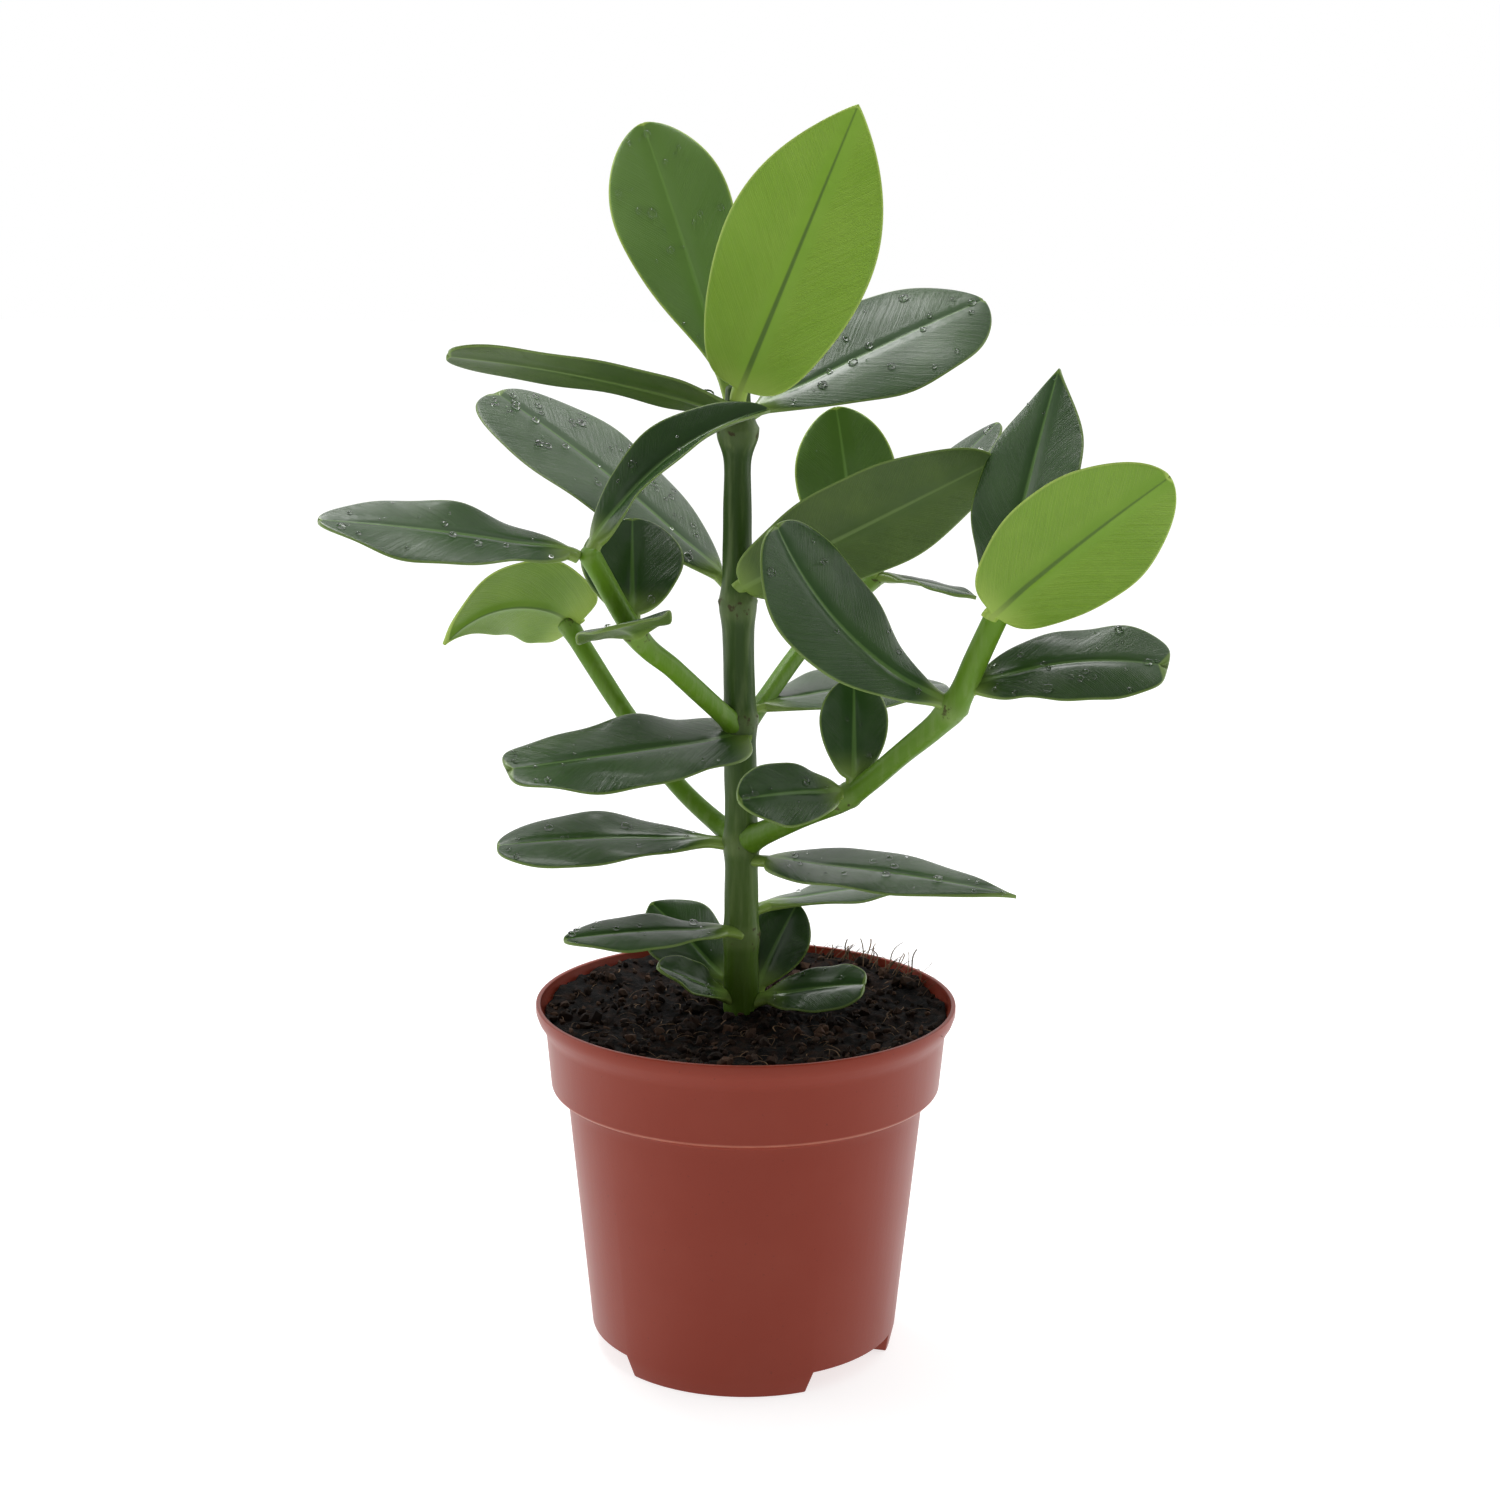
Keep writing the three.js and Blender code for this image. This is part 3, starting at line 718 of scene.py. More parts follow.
@dataclass
class SoilBed:
    """Peat filling the pot, with loose crumbs and coir strands on it."""

    level: float = 98.0
    edge_radius: float = 57.3
    edge_level: float = 99.0
    lumps: float = 1.7
    rings: int = 64
    sides: int = 150
    crumbs: int = 900
    strands: int = 260
    rim_strands: int = 60
    clod: float = 11.0
    grit: float = 3.4
    grit_height: float = 0.9
    heap: float = 0.9
    rear_rise: float = 1.6
    tuft_compass: float = 48.0
    tuft_spread: float = 17.0
    under: tuple = ((0.0, 7.6), (42.6, 7.6), (49.3, 74.3), (50.4, 78.9), (53.7, 80.0), (55.1, 93.0),
                    (56.2, 97.0))
    seed: int = 7

    def top(self, x: float, y: float) -> float:
        """Height of the lumpy surface, in millimetres."""
        spot = Vector((x, y, 0))
        coarse = self.lumps * noise.fractal(spot / self.clod, 0.6, 2.1, 5)
        fine = self.grit_height * noise.turbulence(spot / self.grit, 3, True)
        outward = ease(math.hypot(x, y), 40, self.edge_radius)
        heap = self.heap * (1 - ease(math.hypot(x - 2, y - 3), 5, 30))
        rear = self.rear_rise * ease(y, 5, 50)
        return blend(self.level, self.edge_level, outward) + heap + rear + coarse + fine

    def ring_point(self, ring: int, turn: float) -> dict:
        """Point of the bed: up its side first, then inwards over its top."""
        if ring < len(self.under):
            radius, height = self.under[ring]
        else:
            radius = self.edge_radius * (1 - (ring - len(self.under)) / (self.rings - 1))
            height = self.top(radius * math.cos(turn) if radius > 0.01 else 0, radius * math.sin(turn))
        return {"point": polar(radius, turn, height)}

    def scatter(self, pick: random.Random, low: float, high: float, margin: float = 0.0) -> Vector:
        """A random point on the bed, evenly spread between two shares of its area."""
        turn = pick.uniform(0, 2 * math.pi)
        spot = polar(math.sqrt(pick.uniform(low, high)) * (self.edge_radius - margin), turn)
        spot.z = self.top(spot.x, spot.y)
        return spot

    def build_bed(self) -> Object:
        """Makes the bed of peat."""
        bed = ring_loft(self.sides, len(self.under) + self.rings, self.ring_point, ())
        return piece_from(bed, "soil_bed", Peat().material())

    def build_crumbs(self, pick: random.Random) -> Object:
        """Scatters angular crumbs of peat over the bed."""
        crumbs = bmesh.new()
        shade = crumbs.verts.layers.float.new("shade")
        for _ in range(self.crumbs):
            spot = self.scatter(pick, 0.01, 1, 1)
            size = pick.uniform(0.35, 1.25) if pick.random() < 0.85 else pick.uniform(1.2, 2.2)
            stretch = Matrix.Diagonal(
                (pick.uniform(0.6, 1.5), pick.uniform(0.6, 1.2), pick.uniform(0.5, 1.0), 1)
            )
            half_turn = pick.uniform(0, math.pi)
            spin = Matrix.Rotation(half_turn, 4, Vector([pick.uniform(-1, 1) for _ in range(3)]))
            spot.z += size * 0.35
            place = Matrix.Translation(spot * MM)
            made = bmesh.ops.create_icosphere(
                crumbs, subdivisions=1, radius=size * MM, matrix=place @ spin @ stretch
            )["verts"]
            tint = pick.random() ** 2.5
            for vert in made:
                vert[shade] = tint
                vert.co += Vector([pick.uniform(-0.22, 0.22) * size * MM for _ in range(3)])
        finish = Fibre("peat_crumb", (0.004, 0.003, 0.0027), (0.075, 0.038, 0.022)).material()
        piece = piece_from(crumbs, "soil_crumbs", finish)
        piece.data.shade_flat()
        return piece

    def strand(
        self, strands: BMesh, pick: random.Random, start: Vector, heading: float, reach: float,
        rise: float, hold: float,
    ) -> None:
        """Adds one curly strand.

        Args:
            strands: the mesh that it joins.
            pick: the source of its curls.
            start: its foot, in millimetres.
            heading: its compass direction, in radians.
            reach: its length, in millimetres.
            rise: its slope at the foot.
            hold: how far it sinks again by its end, in slope.
        """
        steps, thickness = 9, pick.uniform(0.09, 0.22)
        shade_layer = strands.verts.layers.float["shade"]
        shade = pick.uniform(0.1, 1.0)
        ring = bmesh.ops.create_circle(strands, cap_ends=True, segments=4, radius=thickness * MM)
        verts = ring["verts"]
        faces = list({face for vert in verts for face in vert.link_faces})
        spot, bend, sway = start.copy(), pick.uniform(-1.6, 1.6), pick.uniform(-1, 1)
        bmesh.ops.translate(strands, verts=verts, vec=spot * MM)
        for vert in verts:
            vert[shade_layer] = shade
        for step in range(steps):
            share = (step + 1) / steps
            angle = heading + bend * share + 0.5 * sway * math.sin(5 * share)
            slope = rise - (rise + hold) * share
            move = Vector((math.cos(angle), math.sin(angle), slope)).normalized() * (reach / steps)
            grown = bmesh.ops.extrude_face_region(strands, geom=faces)["geom"]
            bmesh.ops.delete(strands, geom=faces, context="FACES_ONLY")
            verts, faces = only(grown, BMVert), only(grown, BMFace)
            bmesh.ops.translate(strands, verts=verts, vec=move * MM)
            spot += move

    def build_strands(self, pick: random.Random) -> Object:
        """Lays coir strands on the bed, and a tuft of them over the rear right of the rim."""
        strands = bmesh.new()
        strands.verts.layers.float.new("shade")
        for _ in range(self.strands):
            foot = self.scatter(pick, 0.02, 0.9)
            foot.z -= 0.2
            self.strand(strands, pick, foot, pick.uniform(0, 2 * math.pi), pick.uniform(2.5, 8.5),
                        pick.uniform(0.1, 0.9), pick.uniform(0.1, 0.9))
        for _ in range(self.rim_strands):
            turn = math.radians(pick.gauss(self.tuft_compass, self.tuft_spread))
            foot = polar(self.edge_radius - pick.uniform(0.5, 5), turn)
            foot.z = self.top(foot.x, foot.y)
            self.strand(strands, pick, foot, turn + pick.uniform(-1.2, 1.2), pick.uniform(5, 10),
                        pick.uniform(1.0, 2.6), pick.uniform(-0.6, 0.5))
        bmesh.ops.recalc_face_normals(strands, faces=strands.faces)
        finish = Fibre("coir_strand", (0.022, 0.012, 0.007), (0.20, 0.125, 0.07)).material()
        return piece_from(strands, "coir_strands", finish)

    def build(self) -> None:
        """Makes the bed in place of its plain node, and what lies on it."""
        pick = random.Random(self.seed)
        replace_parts(self.build_bed(), "soil")
        self.build_crumbs(pick)
        self.build_strands(pick)


# ---- Stems ----


@dataclass
class Stem:
    """One stem or branch: points up its middle with the radius at each, and its swollen joints."""

    node: str
    points: Sequence[tuple[float, float, float, float]]
    joints: Sequence[tuple[float, float, float]] = ()
    sides: int = 32
    start: float = 0.0
    step: float = 0.9
    tip_rings = 4
    ridge = 0.35
    roughness = 0.16
    rib = 0.07
    collar = 1.1

    def spline(self, share: float) -> tuple[Vector, Vector, float]:
        """Point, direction and plain radius at a share of the way along the points."""
        last = len(self.points) - 1
        index = min(int(share * last), last - 1)
        local = share * last - index
        before, start, end, after = [self.guide(index + offset) for offset in (-1, 0, 1, 2)]
        leave, arrive = (end - before) / 2, (after - start) / 2
        cubic, square = 2 * start - 2 * end + leave + arrive, 3 * end - 3 * start - 2 * leave - arrive
        spot = ((cubic * local + square) * local + leave) * local + start
        along = (3 * cubic * local + 2 * square) * local + leave
        radius = blend(self.points[index][3], self.points[index + 1][3], local)
        return spot, along.normalized(), radius

    def guide(self, index: int) -> Vector:
        """A point of the stem, or one beyond either end on a straight line."""
        last = len(self.points) - 1
        if index < 0:
            return 2 * self.guide(0) - self.guide(1)
        if index > last:
            return 2 * self.guide(last) - self.guide(last - 1)
        return Vector(self.points[index][:3])

    def at_height(self, height: float) -> Vector:
        """Point on the middle of the stem at a height; every stem climbs steadily."""
        low, high = 0.0, 1.0
        for _ in range(30):
            middle = (low + high) / 2
            if self.spline(middle)[0].z < height:
                low = middle
            else:
                high = middle
        return self.spline(low)[0]

    def shares(self) -> list[float]:
        """Places of the rings, about one step apart, from where the stem comes out of its parent."""
        cuts = 400
        fine = [blend(self.start, 1, i / cuts) for i in range(cuts + 1)]
        spots = [self.spline(share)[0] for share in fine]
        chosen, run = [fine[0]], 0.0
        for i in range(1, len(fine)):
            run += (spots[i] - spots[i - 1]).length
            if run >= self.step:
                chosen.append(fine[i])
                run = 0.0
        return chosen if chosen[-1] == 1.0 else [*chosen, 1.0]

    def joint_share(self, height: float) -> float:
        """How near a height is to a joint, 1 on it."""
        return max([bell(height - middle, half) for middle, _, half in self.joints], default=0.0)

    def radius(self, plain: float, height: float, turn: float, distance: float) -> float:
        """Radius with the joints' swellings and ridges, faint ribs, and the collar at a branch's foot."""
        swell = sum(extra * bell(height - middle, half) for middle, extra, half in self.joints)
        ridge = sum(self.ridge * bell(height - middle - 1.2, 0.7) for middle, _, _ in self.joints)
        rough = self.roughness * noise.noise(polar(1.6, turn, height / 9))
        rib = self.rib * math.sin(4 * turn + height / 11)
        collar = self.collar * math.exp(-distance / 2.6) if self.start > 0 else 0.0
        return plain + swell + ridge + rough + rib + collar

    def build(self, finish: Material, slot: str) -> None:
        """Makes the stem in place of its plain node.

        Args:
            finish: its bark.
            slot: the record's material slot; not used.
        """
        spots = [self.spline(share) for share in self.shares()]

        def place(ring: int, turn: float) -> dict:
            """Point on the bark: the first ring closes the foot, and the last ones round the tip."""
            index = min(max(ring - 1, 0), len(spots) - 1)
            spot, along, plain = spots[index]
            across = Vector((-along.y, along.x, 0))
            across = Vector((0, 1, 0)) if across.length_squared < 0.01 else across
            across = (across - along * across.dot(along)).normalized()
            upward = along.cross(across)
            beyond = max(0, ring - len(spots)) / (self.tip_rings - 1)
            full = 0.0 if ring == 0 else math.sqrt(max(0.0, 1 - beyond**2))
            radius = self.radius(plain, spot.z, turn, index * self.step) * full
            point = spot + along * (beyond * plain * 0.5)
            point += across * (radius * math.cos(turn)) + upward * (radius * math.sin(turn))
            return {"point": point, "joint": self.joint_share(spot.z)}

        stem = ring_loft(self.sides, len(spots) + self.tip_rings, place, ("joint",))
        piece = piece_from(stem, f"{self.node}_bark", finish)
        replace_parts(piece, self.node)


STEMS = (
    Stem("main_stem",
         ((-1.2, 2, 70, 4.8), (-1.4, 2, 100, 5.2), (-1.6, 3, 149, 4.6), (-2.3, 3.6, 185, 4.5),
          (-3, 4, 218, 4.3), (-3.3, 4, 250, 3.8), (-3.3, 4, 276, 3.4)),
         ((121, 0.5, 4), (148, 0.8, 4), (183, 0.8, 4), (216, 1.0, 5), (264, 2.4, 5)), sides=40),
    Stem("branch_right",
         ((-1.6, 3, 148, 3.4), (14, -11, 158.5, 3.1), (28, -19, 167, 3.0), (41, -28, 180, 3.1),
          (54, -37, 194.5, 3.4), (60, -42, 209, 3.3), (65.5, -46, 223, 3.1)),
         ((166, 0.5, 3), (195, 0.6, 3)), start=0.028),
    Stem("branch_rear_left",
         ((-1.6, 3, 149, 2.9), (-8, 8, 152, 2.8), (-21, 17, 162.5, 2.7), (-36, 27, 181, 2.7),
          (-53, 38, 205, 2.8)),
         ((205, 0.4, 3),), start=0.1),
    Stem("branch_front_left",
         ((-2.3, 3.6, 181, 2.9), (-6, -1, 185, 2.8), (-20, -16, 201, 2.8), (-30, -25, 212, 2.9),
          (-42, -38, 236, 2.9)),
         ((212, 0.4, 3),), start=0.1),
    Stem("branch_rear_right",
         ((-2.3, 3.6, 181, 2.7), (3, 8, 186, 2.5), (18, 27, 203, 2.5), (38, 45, 219, 2.5)),
         ((218, 0.4, 3),), start=0.12),
)


# ---- Leaves ----


@dataclass(frozen=True)
class Section:
    """Cross-section of a leaf: its centre, its three directions, and its size."""

    share: float
    centre: Vector
    along: Vector
    left: Vector
    face: Vector
    half_width: float
    half_thickness: float
    flatness: float


@dataclass(frozen=True)
class Leaf:
    """One leaf: where it springs from, how it is held, and its outline.

    heading is the compass direction, counter-clockwise from +X. pitch is the slope at the blade's foot, bend
    its change along the blade, lift how much steeper the petiole starts. roll turns the blade about its own
    length, left side up. fold is the slope of the halves up from the midrib, and cup how far they then curl
    upwards. widest is the share of the blade where it is widest, and a small base_blunt or tip_blunt makes
    that end full and round. side is the direction of the foot from the middle of the stem, where that isn't
    its heading. notch and lobe shape the ends, wave ripples the margins, and tone pales the skin.
    """

    node: str
    stem: str
    height: float
    heading: float
    pitch: float
    length: float
    width: float
    petiole: float = 9
    lift: float = 20
    bend: float = -10
    roll: float = 0
    twist: float = 0
    cup: float = -12
    fold: float = 6
    widest: float = 0.56
    base_blunt: float = 0.5
    tip_blunt: float = 0.55
    side: float | None = None
    skin: LeafSkin = LeafSkin.DARK
    notch: float = 0.6
    wave: float = 0.7
    lobe: float = 0.0
    drops: int = 5
    tone: float = 0.5

    petiole_half_width = 2.3
    petiole_half_height = 1.6
    half_thickness = 0.58
    side_offset = 3.5
    rib_width = 0.75
    rib_height = 0.75
    groove_depth = 0.38
    sides = 64
    blade_rings = 64
    petiole_rings = 8

    def frame(self, share: float) -> tuple[Vector, Vector, Vector]:
        """Direction, left side and upper face at a share of the blade; below zero is the petiole."""
        rise = -self.lift * share if share < 0 else self.bend * share
        heading, pitch = math.radians(self.heading), math.radians(self.pitch + rise)
        roll = math.radians(self.roll + self.twist * max(share, 0))
        along = polar(math.cos(pitch), heading, math.sin(pitch))
        level = Vector((-math.sin(heading), math.cos(heading), 0))
        face = along.cross(level)
        left = level * math.cos(roll) + face * math.sin(roll)
        return along, left, face * math.cos(roll) - level * math.sin(roll)

    def half_width(self, share: float) -> float:
        """Half the blade's width at a share of its length."""
        stretch = math.log(0.5) / math.log(self.widest)
        blunt = blend(self.base_blunt, self.tip_blunt, share)
        return self.width / 2 * max(0.0, math.sin(math.pi * share**stretch)) ** blunt

    def foot(self, stems: dict[str, Stem]) -> Vector:
        """Where the petiole starts, inside its stem."""
        foot = stems[self.stem].at_height(self.height)
        if self.side is not None:
            foot = foot + polar(self.side_offset, math.radians(self.side))
        return foot

    def sections(self, foot: Vector) -> list[Section]:
        """Cross-sections from the foot of the petiole to the tip, closer together at the blade's ends."""
        shares = [ring / self.petiole_rings - 1 for ring in range(self.petiole_rings)]
        turns = [math.pi * ring / self.blade_rings for ring in range(self.blade_rings + 1)]
        shares += [(1 - math.cos(turn)) / 2 for turn in turns]
        made, centre = [], foot.copy()
        for index, share in enumerate(shares):
            if index:
                before = shares[index - 1]
                step = (share - before) * (self.petiole if before < 0 else self.length)
                centre = centre + self.frame((before + share) / 2)[0] * step
            fade = min(1.0, max(share, 0) * 4)
            stalk = self.petiole_half_width * (1 - 0.2 * fade) if share < 0.3 else 0.0
            blade = self.half_width(max(share, 0))
            half_width = math.hypot(stalk * (1 - ease(share, 0.0, 0.3)), blade) if share < 1 else 0.0
            thickness = blend(self.petiole_half_height, self.half_thickness, ease(fade, 0, 0.9))
            made.append(Section(share, centre, *self.frame(share), half_width, thickness * (share < 1), fade))
        return made

    def lift_at(self, section: Section, across: float) -> tuple[float, float]:
        """Sideways and upward place of the blade's middle layer.

        Args:
            section: the cross-section.
            across: from -1 at the right margin to 1 at the left one.

        Returns:
            The two distances in millimetres.
        """
        fold, cup = math.radians(self.fold), math.radians(self.cup)
        bent = fold + cup * abs(across)
        flat, width = section.flatness, section.half_width
        sideways = width * (math.sin(bent) - math.sin(fold)) / cup
        upward = width * (math.cos(fold) - math.cos(bent)) / cup
        phase = self.heading / 20 + (1.9 if across > 0 else 0)
        ripple = math.sin(9 * section.share + phase) + 0.5 * math.sin(17 * section.share + 2 * phase)
        upward += self.wave * ripple * across**2 * math.sin(math.pi * max(0, section.share)) ** 0.5
        return blend(width * across, math.copysign(sideways, across), flat), upward * flat

    def end_shift(self, section: Section, across: float) -> float:
        """How far back from the plain outline the ends sit: a notch at the tip, lobes at the base."""
        notch = -self.notch * (1 - abs(across)) ** 1.5 * ease(section.share, 0.86, 1.0)
        lobe = -self.lobe * across**2 * math.exp(-max(0, section.share) / 0.08) * section.flatness
        return notch + lobe * (section.share > 0)

    def skin_point(self, section: Section, turn: float) -> dict:
        """Point on the leaf's skin, and the numbers that its finish reads."""
        around = math.cos(turn)
        across = blend(around, around * (0.5 + 0.5 * around * around), section.flatness)
        sideways, upward = self.lift_at(section, across)
        above = 1 if math.sin(turn) > 0 else -1
        rounded = above * math.sqrt(max(0.0, 1 - abs(across) ** 8))
        thickness = section.half_thickness * blend(math.sin(turn), rounded, section.flatness)
        if abs(around) > 0.9999:
            thickness = 0.0
        fading = max(0.0, 1 - section.share) ** 0.8 * section.flatness
        if above < 0:
            thickness -= self.rib_height * fading * bell(sideways, 1.1)
        else:
            thickness -= self.groove_depth * fading * bell(sideways, 0.9)
        point = section.centre + section.left * sideways + section.face * (upward + thickness)
        point = point + section.along * self.end_shift(section, across)
        share = max(0.0, section.share)
        run = share * self.length if section.share > 0 else section.share * self.petiole
        edge = min(section.half_width * (1 - abs(across)), (1 - section.share) * self.length)
        return {
            "point": point,
            "across": section.half_width * across,
            "along": run,
            "edge": edge,
            "upper": 0.5 + 0.5 * max(-1.0, min(1.0, 4 * math.sin(turn))),
            "rib": self.rib_width * (1 - 0.85 * share),
            "tone": self.tone,
        }

    def build(self, stems: dict[str, Stem], finish: Material) -> None:
        """Makes the leaf in place of its plain node.

        Args:
            stems: every stem, by name.
            finish: the leaf's skin.
        """
        sections = self.sections(self.foot(stems))
        first = Section(-1, sections[0].centre, *self.frame(-1), 0, 0, 0)
        rows = [first, *sections]
        names = ("across", "along", "edge", "upper", "rib", "tone")

        def place(ring: int, turn: float) -> dict:
            """Point on the skin of one cross-section."""
            return self.skin_point(rows[ring], turn)

        leaf = ring_loft(self.sides, len(rows), place, names)
        piece = piece_from(leaf, f"{self.node}_blade", finish)
        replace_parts(piece, self.node)


LEAVES = (
    Leaf("leaf_soil_front_left", "main_stem", 99, 216, 30, 26, 14,
         bend=-4, roll=-38, petiole=8, cup=20, drops=3, tone=0.7),
    Leaf("leaf_soil_right", "main_stem", 99, 341, 18, 30, 17,
         roll=36, tip_blunt=0.25, drops=7, notch=0.3, tone=0.6),
    Leaf("leaf_soil_rear_right", "main_stem", 99, 38, 62, 26, 18,
         roll=48, petiole=7, side=20, drops=2, tone=0.5),
    Leaf("leaf_soil_rear_left", "main_stem", 99, 152, 44, 32, 26,
         roll=-25, base_blunt=0.6, tip_blunt=0.7, drops=4, tone=0.5),
    Leaf("leaf_low_left", "main_stem", 122, 201, 7, 48, 19,
         roll=-14, petiole=5, side=270, drops=14, tone=0.8),
    Leaf("leaf_low_right", "main_stem", 126, 28, 6, 54, 22,
         bend=-14, drops=4, tone=0.8),
    Leaf("leaf_second_right", "main_stem", 143, 331, 4, 76, 28,
         bend=-8, roll=10, lift=0, widest=0.42, tip_blunt=1.3, drops=20, tone=0.8),
    Leaf("leaf_second_left", "main_stem", 146, 180, 4, 61, 27,
         bend=-12, roll=-20, widest=0.6, base_blunt=0.6, tip_blunt=0.42, drops=14, tone=0.8),
    Leaf("leaf_third_front", "main_stem", 179, 201, -4, 70, 32,
         bend=0, roll=-20, twist=-4, petiole=1, widest=0.42, base_blunt=0.35, tip_blunt=0.25, side=320,
         drops=22, wave=1.6, notch=1.6, tone=0.8),
    Leaf("leaf_third_rear", "main_stem", 184, 32, 8, 64, 34,
         bend=-16, roll=8, petiole=8, drops=4, tone=0.8),
    Leaf("leaf_fourth_left", "main_stem", 217, 153, 39, 88, 46,
         bend=-12, roll=-8, widest=0.6, tip_blunt=0.3, drops=60, notch=1.8, tone=0.8),
    Leaf("leaf_fourth_right", "main_stem", 221, 343, 28, 80, 31,
         bend=0, roll=-62, petiole=2, widest=0.52, base_blunt=0.35, side=270,
         drops=4, wave=1.2, lobe=2, tone=0.75),
    Leaf("leaf_front_branch_tip_right", "branch_front_left", 235, 22, 58, 61, 18,
         bend=-48, roll=26, petiole=4, cup=10, fold=30, widest=0.5, drops=6, tone=0.6),
    Leaf("leaf_fifth_right", "main_stem", 266, 25, 24, 76, 42,
         bend=-4, roll=30, petiole=8, widest=0.62, drops=34, wave=0.9, tone=0.8),
    Leaf("leaf_fifth_left", "main_stem", 268, 197, 18, 84, 20,
         bend=-12, roll=28, petiole=2, tip_blunt=0.3, side=340, drops=14, tone=0.5),
    Leaf("leaf_top_front", "main_stem", 273, 330, 65, 83, 42,
         bend=0, roll=-64, petiole=3.5, widest=0.48, base_blunt=0.35, tip_blunt=0.85, side=270,
         skin=LeafSkin.YOUNG, drops=3, wave=0.9, lobe=2.5, tone=1),
    Leaf("leaf_top_rear", "main_stem", 268, 135, 66, 80, 34,
         bend=-4, roll=-40, petiole=8, widest=0.66, base_blunt=0.7, side=110,
         skin=LeafSkin.YOUNG, drops=26, tone=0.8, wave=1.1),
    Leaf("leaf_right_branch_low_left", "branch_right", 167, 214, 8, 33, 20,
         roll=-48, petiole=4, base_blunt=0.4, drops=8, lobe=1, tone=0.35),
    Leaf("leaf_right_branch_low_upright", "branch_right", 168, 92, 82, 28, 19,
         petiole=4, base_blunt=0.4, drops=3, lobe=1, tone=0.45),
    Leaf("leaf_right_branch_upper_left", "branch_right", 195, 196, 26, 68, 31,
         bend=40, roll=-62, petiole=4, widest=0.66, tip_blunt=0.42, drops=8, wave=1.1, tone=0.75),
    Leaf("leaf_right_branch_upper_right", "branch_right", 198, 346, 26, 52, 27,
         bend=-34, roll=36, petiole=5, tip_blunt=0.25, drops=26, notch=2.2, wave=1.2, tone=0.8),
    Leaf("leaf_right_branch_tip_right", "branch_right", 221, 342, 43, 58, 38,
         bend=-6, roll=-62, petiole=2, widest=0.5, base_blunt=0.35, side=230,
         skin=LeafSkin.YOUNG, drops=2, lobe=2, tone=0.75),
    Leaf("leaf_right_branch_tip_rear", "branch_right", 219, 51, 70, 64, 32,
         bend=-6, petiole=6, widest=0.5, base_blunt=0.45, tip_blunt=1.1, side=60,
         drops=4, wave=1.4, tone=0.7),
    Leaf("leaf_rear_branch_upright", "branch_rear_right", 216, 119, 80, 47, 30,
         roll=-30, petiole=6, side=150, skin=LeafSkin.YOUNG, drops=2, tone=0.35, lobe=1),
    Leaf("leaf_rear_branch_tip", "branch_rear_right", 217, 27, 52, 57, 26,
         bend=-15, petiole=6, drops=2, tone=0.3),
    Leaf("leaf_rear_branch_low", "branch_rear_right", 218, 338, -2, 28, 12,
         bend=-14, petiole=4, tip_blunt=1, drops=1, tone=0.8),
    Leaf("leaf_front_branch_tip_left", "branch_front_left", 235, 198, 13, 66, 27,
         bend=-8, roll=-28, petiole=3, base_blunt=0.45, side=200, drops=18, wave=1.3, tone=0.9),
    Leaf("leaf_front_branch_rear", "branch_front_left", 214, 92, 60, 29, 28,
         petiole=4, base_blunt=0.42, drops=3, lobe=1.5, tone=0.6),
    Leaf("leaf_front_branch_front", "branch_front_left", 211, 262, 16, 32, 26,
         bend=-8, roll=16, petiole=5, drops=4, wave=1.0, tone=0.8),
    Leaf("leaf_left_branch_tip", "branch_rear_left", 205, 192, 36, 44, 40,
         bend=-88, roll=44, petiole=0.5, fold=10, widest=0.34, base_blunt=0.3, tip_blunt=1.4, side=0,
         skin=LeafSkin.YOUNG, drops=2, tone=0.45, wave=1.0),
)


# ---- Water ----


@dataclass
class Dew:
    """Drops of water standing on the leaves' upper faces."""

    smallest: float = 0.35
    largest: float = 1.5
    flatness: float = 0.6
    clear_of_foot: int = 12
    clear_of_tip: int = 8
    clear_of_margin: float = 0.14
    seed: int = 21

    def build(self, leaves: Iterable[Leaf], stems: dict[str, Stem]) -> None:
        """Makes every drop as one piece.

        Args:
            leaves: the leaves that carry drops.
            stems: every stem, by name.
        """
        pick = random.Random(self.seed)
        drops = bmesh.new()
        for leaf in leaves:
            sections = leaf.sections(leaf.foot(stems))[leaf.petiole_rings:]
            for _ in range(leaf.drops):
                section = sections[pick.randrange(self.clear_of_foot, len(sections) - self.clear_of_tip)]
                across = pick.uniform(self.clear_of_margin - 1, 1 - self.clear_of_margin)
                self.add_drop(drops, leaf, section, across, pick)
        bmesh.ops.recalc_face_normals(drops, faces=drops.faces)
        piece_from(drops, "water_drops", Water().material())

    def add_drop(
        self, drops: BMesh, leaf: Leaf, section: Section, across: float, pick: random.Random
    ) -> None:
        """Adds one flattened drop, turned to the face that it stands on."""
        size = blend(self.smallest, self.largest, pick.random() ** 2.2)
        sideways, upward = leaf.lift_at(section, across)
        beside = leaf.lift_at(section, across - 0.02)
        slope = Vector((sideways - beside[0], upward - beside[1])).normalized()
        left = section.left * slope.x + section.face * slope.y
        normal = section.along.cross(left).normalized()
        spot = section.centre + section.left * sideways + section.face * upward
        spot += normal * section.half_thickness
        basis = Matrix((section.along, left, normal)).transposed().to_4x4()
        squash = Matrix.Diagonal((pick.uniform(0.85, 1.25), 1, self.flatness, 1))
        place = Matrix.Translation((spot + normal * size * self.flatness * 0.35) * MM)
        bmesh.ops.create_icosphere(drops, subdivisions=2, radius=size * MM, matrix=place @ basis @ squash)


# ---- Studio ----


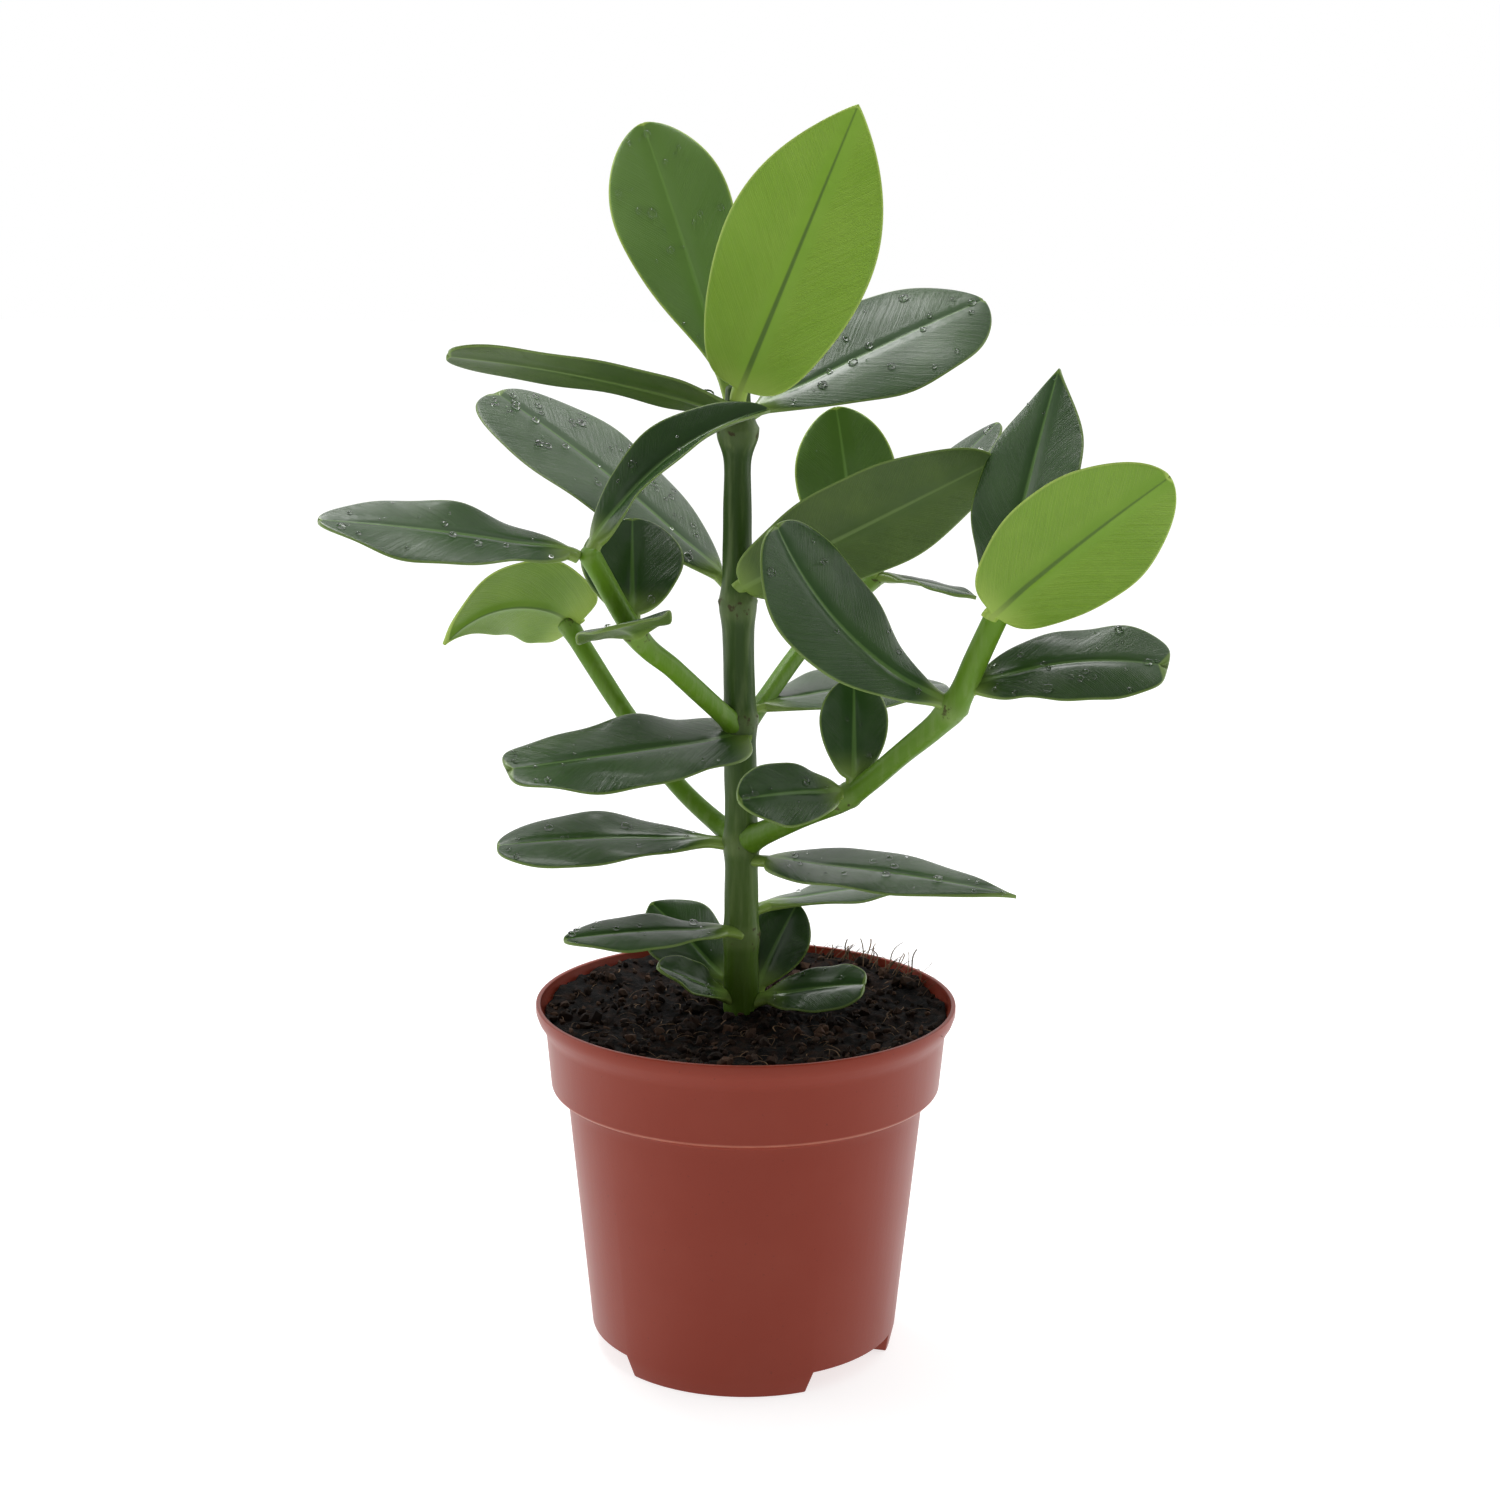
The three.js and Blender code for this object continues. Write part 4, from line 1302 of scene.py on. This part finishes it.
@dataclass
class Studio:
    """Camera, soft lights and pale ground."""

    camera_place: tuple = (0.693, -730.87, 329.51)
    look_down: float = 11.90
    tilt: float = 0.396
    lens: float = 63.79
    sensor: float = 36.0
    ground: float = 6.0
    front: float = 0.10
    back: float = 0.95
    front_edge: float = -0.75
    back_edge: float = 0.45
    overhead: float = 0.15
    target: tuple = (0, 0, 190)
    panels: tuple = (
        ("left_panel", (-1.2, 0.25, 0.45), 1.0, 4.5),
        ("right_panel", (1.2, 0.25, 0.45), 1.0, 4.5),
        ("top_panel", (-0.25, 0.35, 1.15), 0.5, 7.0),
        ("front_panel", (-0.4, -1.6, 1.1), 0.8, 1.5),
    )

    def camera(self) -> None:
        """Places the camera."""
        data = bpy.data.cameras.new("camera")
        data.lens, data.sensor_width = self.lens, self.sensor
        data.clip_start, data.clip_end = 0.01, 50.0
        camera = add_object("camera", data)
        down, tilt = math.radians(self.look_down), math.radians(self.tilt)
        right, up = Vector((1, 0, 0)), Vector((0, math.sin(down), math.cos(down)))
        forward = Vector((0, math.cos(down), -math.sin(down)))
        side = right * math.cos(tilt) + up * math.sin(tilt)
        top = up * math.cos(tilt) - right * math.sin(tilt)
        turned = Matrix((side, top, -forward)).transposed().to_4x4()
        camera.matrix_world = Matrix.Translation(Vector(self.camera_place) * MM) @ turned
        bpy.context.scene.camera = camera

    def sky(self) -> None:
        """White surroundings, brightest behind the plant and overhead."""
        world = bpy.data.worlds.new("surroundings")
        bpy.context.scene.world = world
        board = Board("surroundings", world)
        direction = board.node("ShaderNodeTexCoord", {}, {}, "Generated")
        rearward = board.node("ShaderNodeSeparateXYZ", {}, {0: direction}, "Y")
        upward = board.node("ShaderNodeSeparateXYZ", {}, {0: direction}, "Z")
        depth = board.node(
            "ShaderNodeMapRange",
            {"interpolation_type": "SMOOTHSTEP"},
            {"Value": rearward, "From Min": self.front_edge, "From Max": self.back_edge,
             "To Min": self.front, "To Max": self.back},
        )
        white = (1.0, 1.0, 1.0)
        strength = upward * self.overhead + depth
        light = board.node("ShaderNodeBackground", {}, {"Color": white, "Strength": strength})
        seen = board.node("ShaderNodeBackground", {}, {"Color": white})
        camera_ray = board.node("ShaderNodeLightPath", {}, {}, "Is Camera Ray")
        mixed = board.node("ShaderNodeMixShader", {}, {0: camera_ray, 1: light, 2: seen})
        board.feed(board.output.inputs["Surface"], mixed)

    def lights(self) -> None:
        """Hangs the soft panels, each facing the middle of the plant."""
        target = Vector(self.target) * MM
        for name, place, size, power in self.panels:
            data = bpy.data.lights.new(name, "AREA")
            data.shape, data.size, data.energy = "SQUARE", size, power
            panel = add_object(name, data)
            panel.location = place
            panel.rotation_mode = "QUATERNION"
            panel.rotation_quaternion = (target - Vector(place)).to_track_quat("-Z", "Y")

    def floor(self) -> None:
        """Lays the ground under the feet."""
        ground = bmesh.new()
        bmesh.ops.create_grid(ground, x_segments=2, y_segments=2, size=self.ground)
        mesh = mesh_from(ground, "studio_ground")
        mesh.materials.append(StudioPaper().material())
        sheet = add_object("studio_ground", mesh)

    def build(self) -> None:
        """Sets the whole studio up."""
        self.camera()
        self.sky()
        self.lights()
        self.floor()
        bpy.context.scene.view_settings.view_transform = "Standard"


def main() -> None:
    """Builds the studio, the pot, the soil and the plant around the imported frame."""
    logging.basicConfig(level=logging.INFO, format="%(name)s %(message)s")
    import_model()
    Studio().build()
    Pot().build()
    SoilBed().build()
    main_bark = GreenBark("main_stem_bark", (0.060, 0.120, 0.008), (0.030, 0.068, 0.008), 118, 185).material()
    young_bark = GreenBark("branch_bark", (0.09, 0.19, 0.010), (0.12, 0.25, 0.014), 160, 230).material()
    stems = {stem.node: stem for stem in STEMS}
    for stem in STEMS:
        is_main = stem.node == "main_stem"
        stem.build(main_bark if is_main else young_bark, "main_stem_bark" if is_main else "branch_bark")
    skins = {skin: finish.material() for skin, finish in LEAF_FINISHES.items()}
    for leaf in LEAVES:
        leaf.build(stems, skins[leaf.skin])
    Dew().build(LEAVES, stems)


if __name__ == "__main__":
    main()
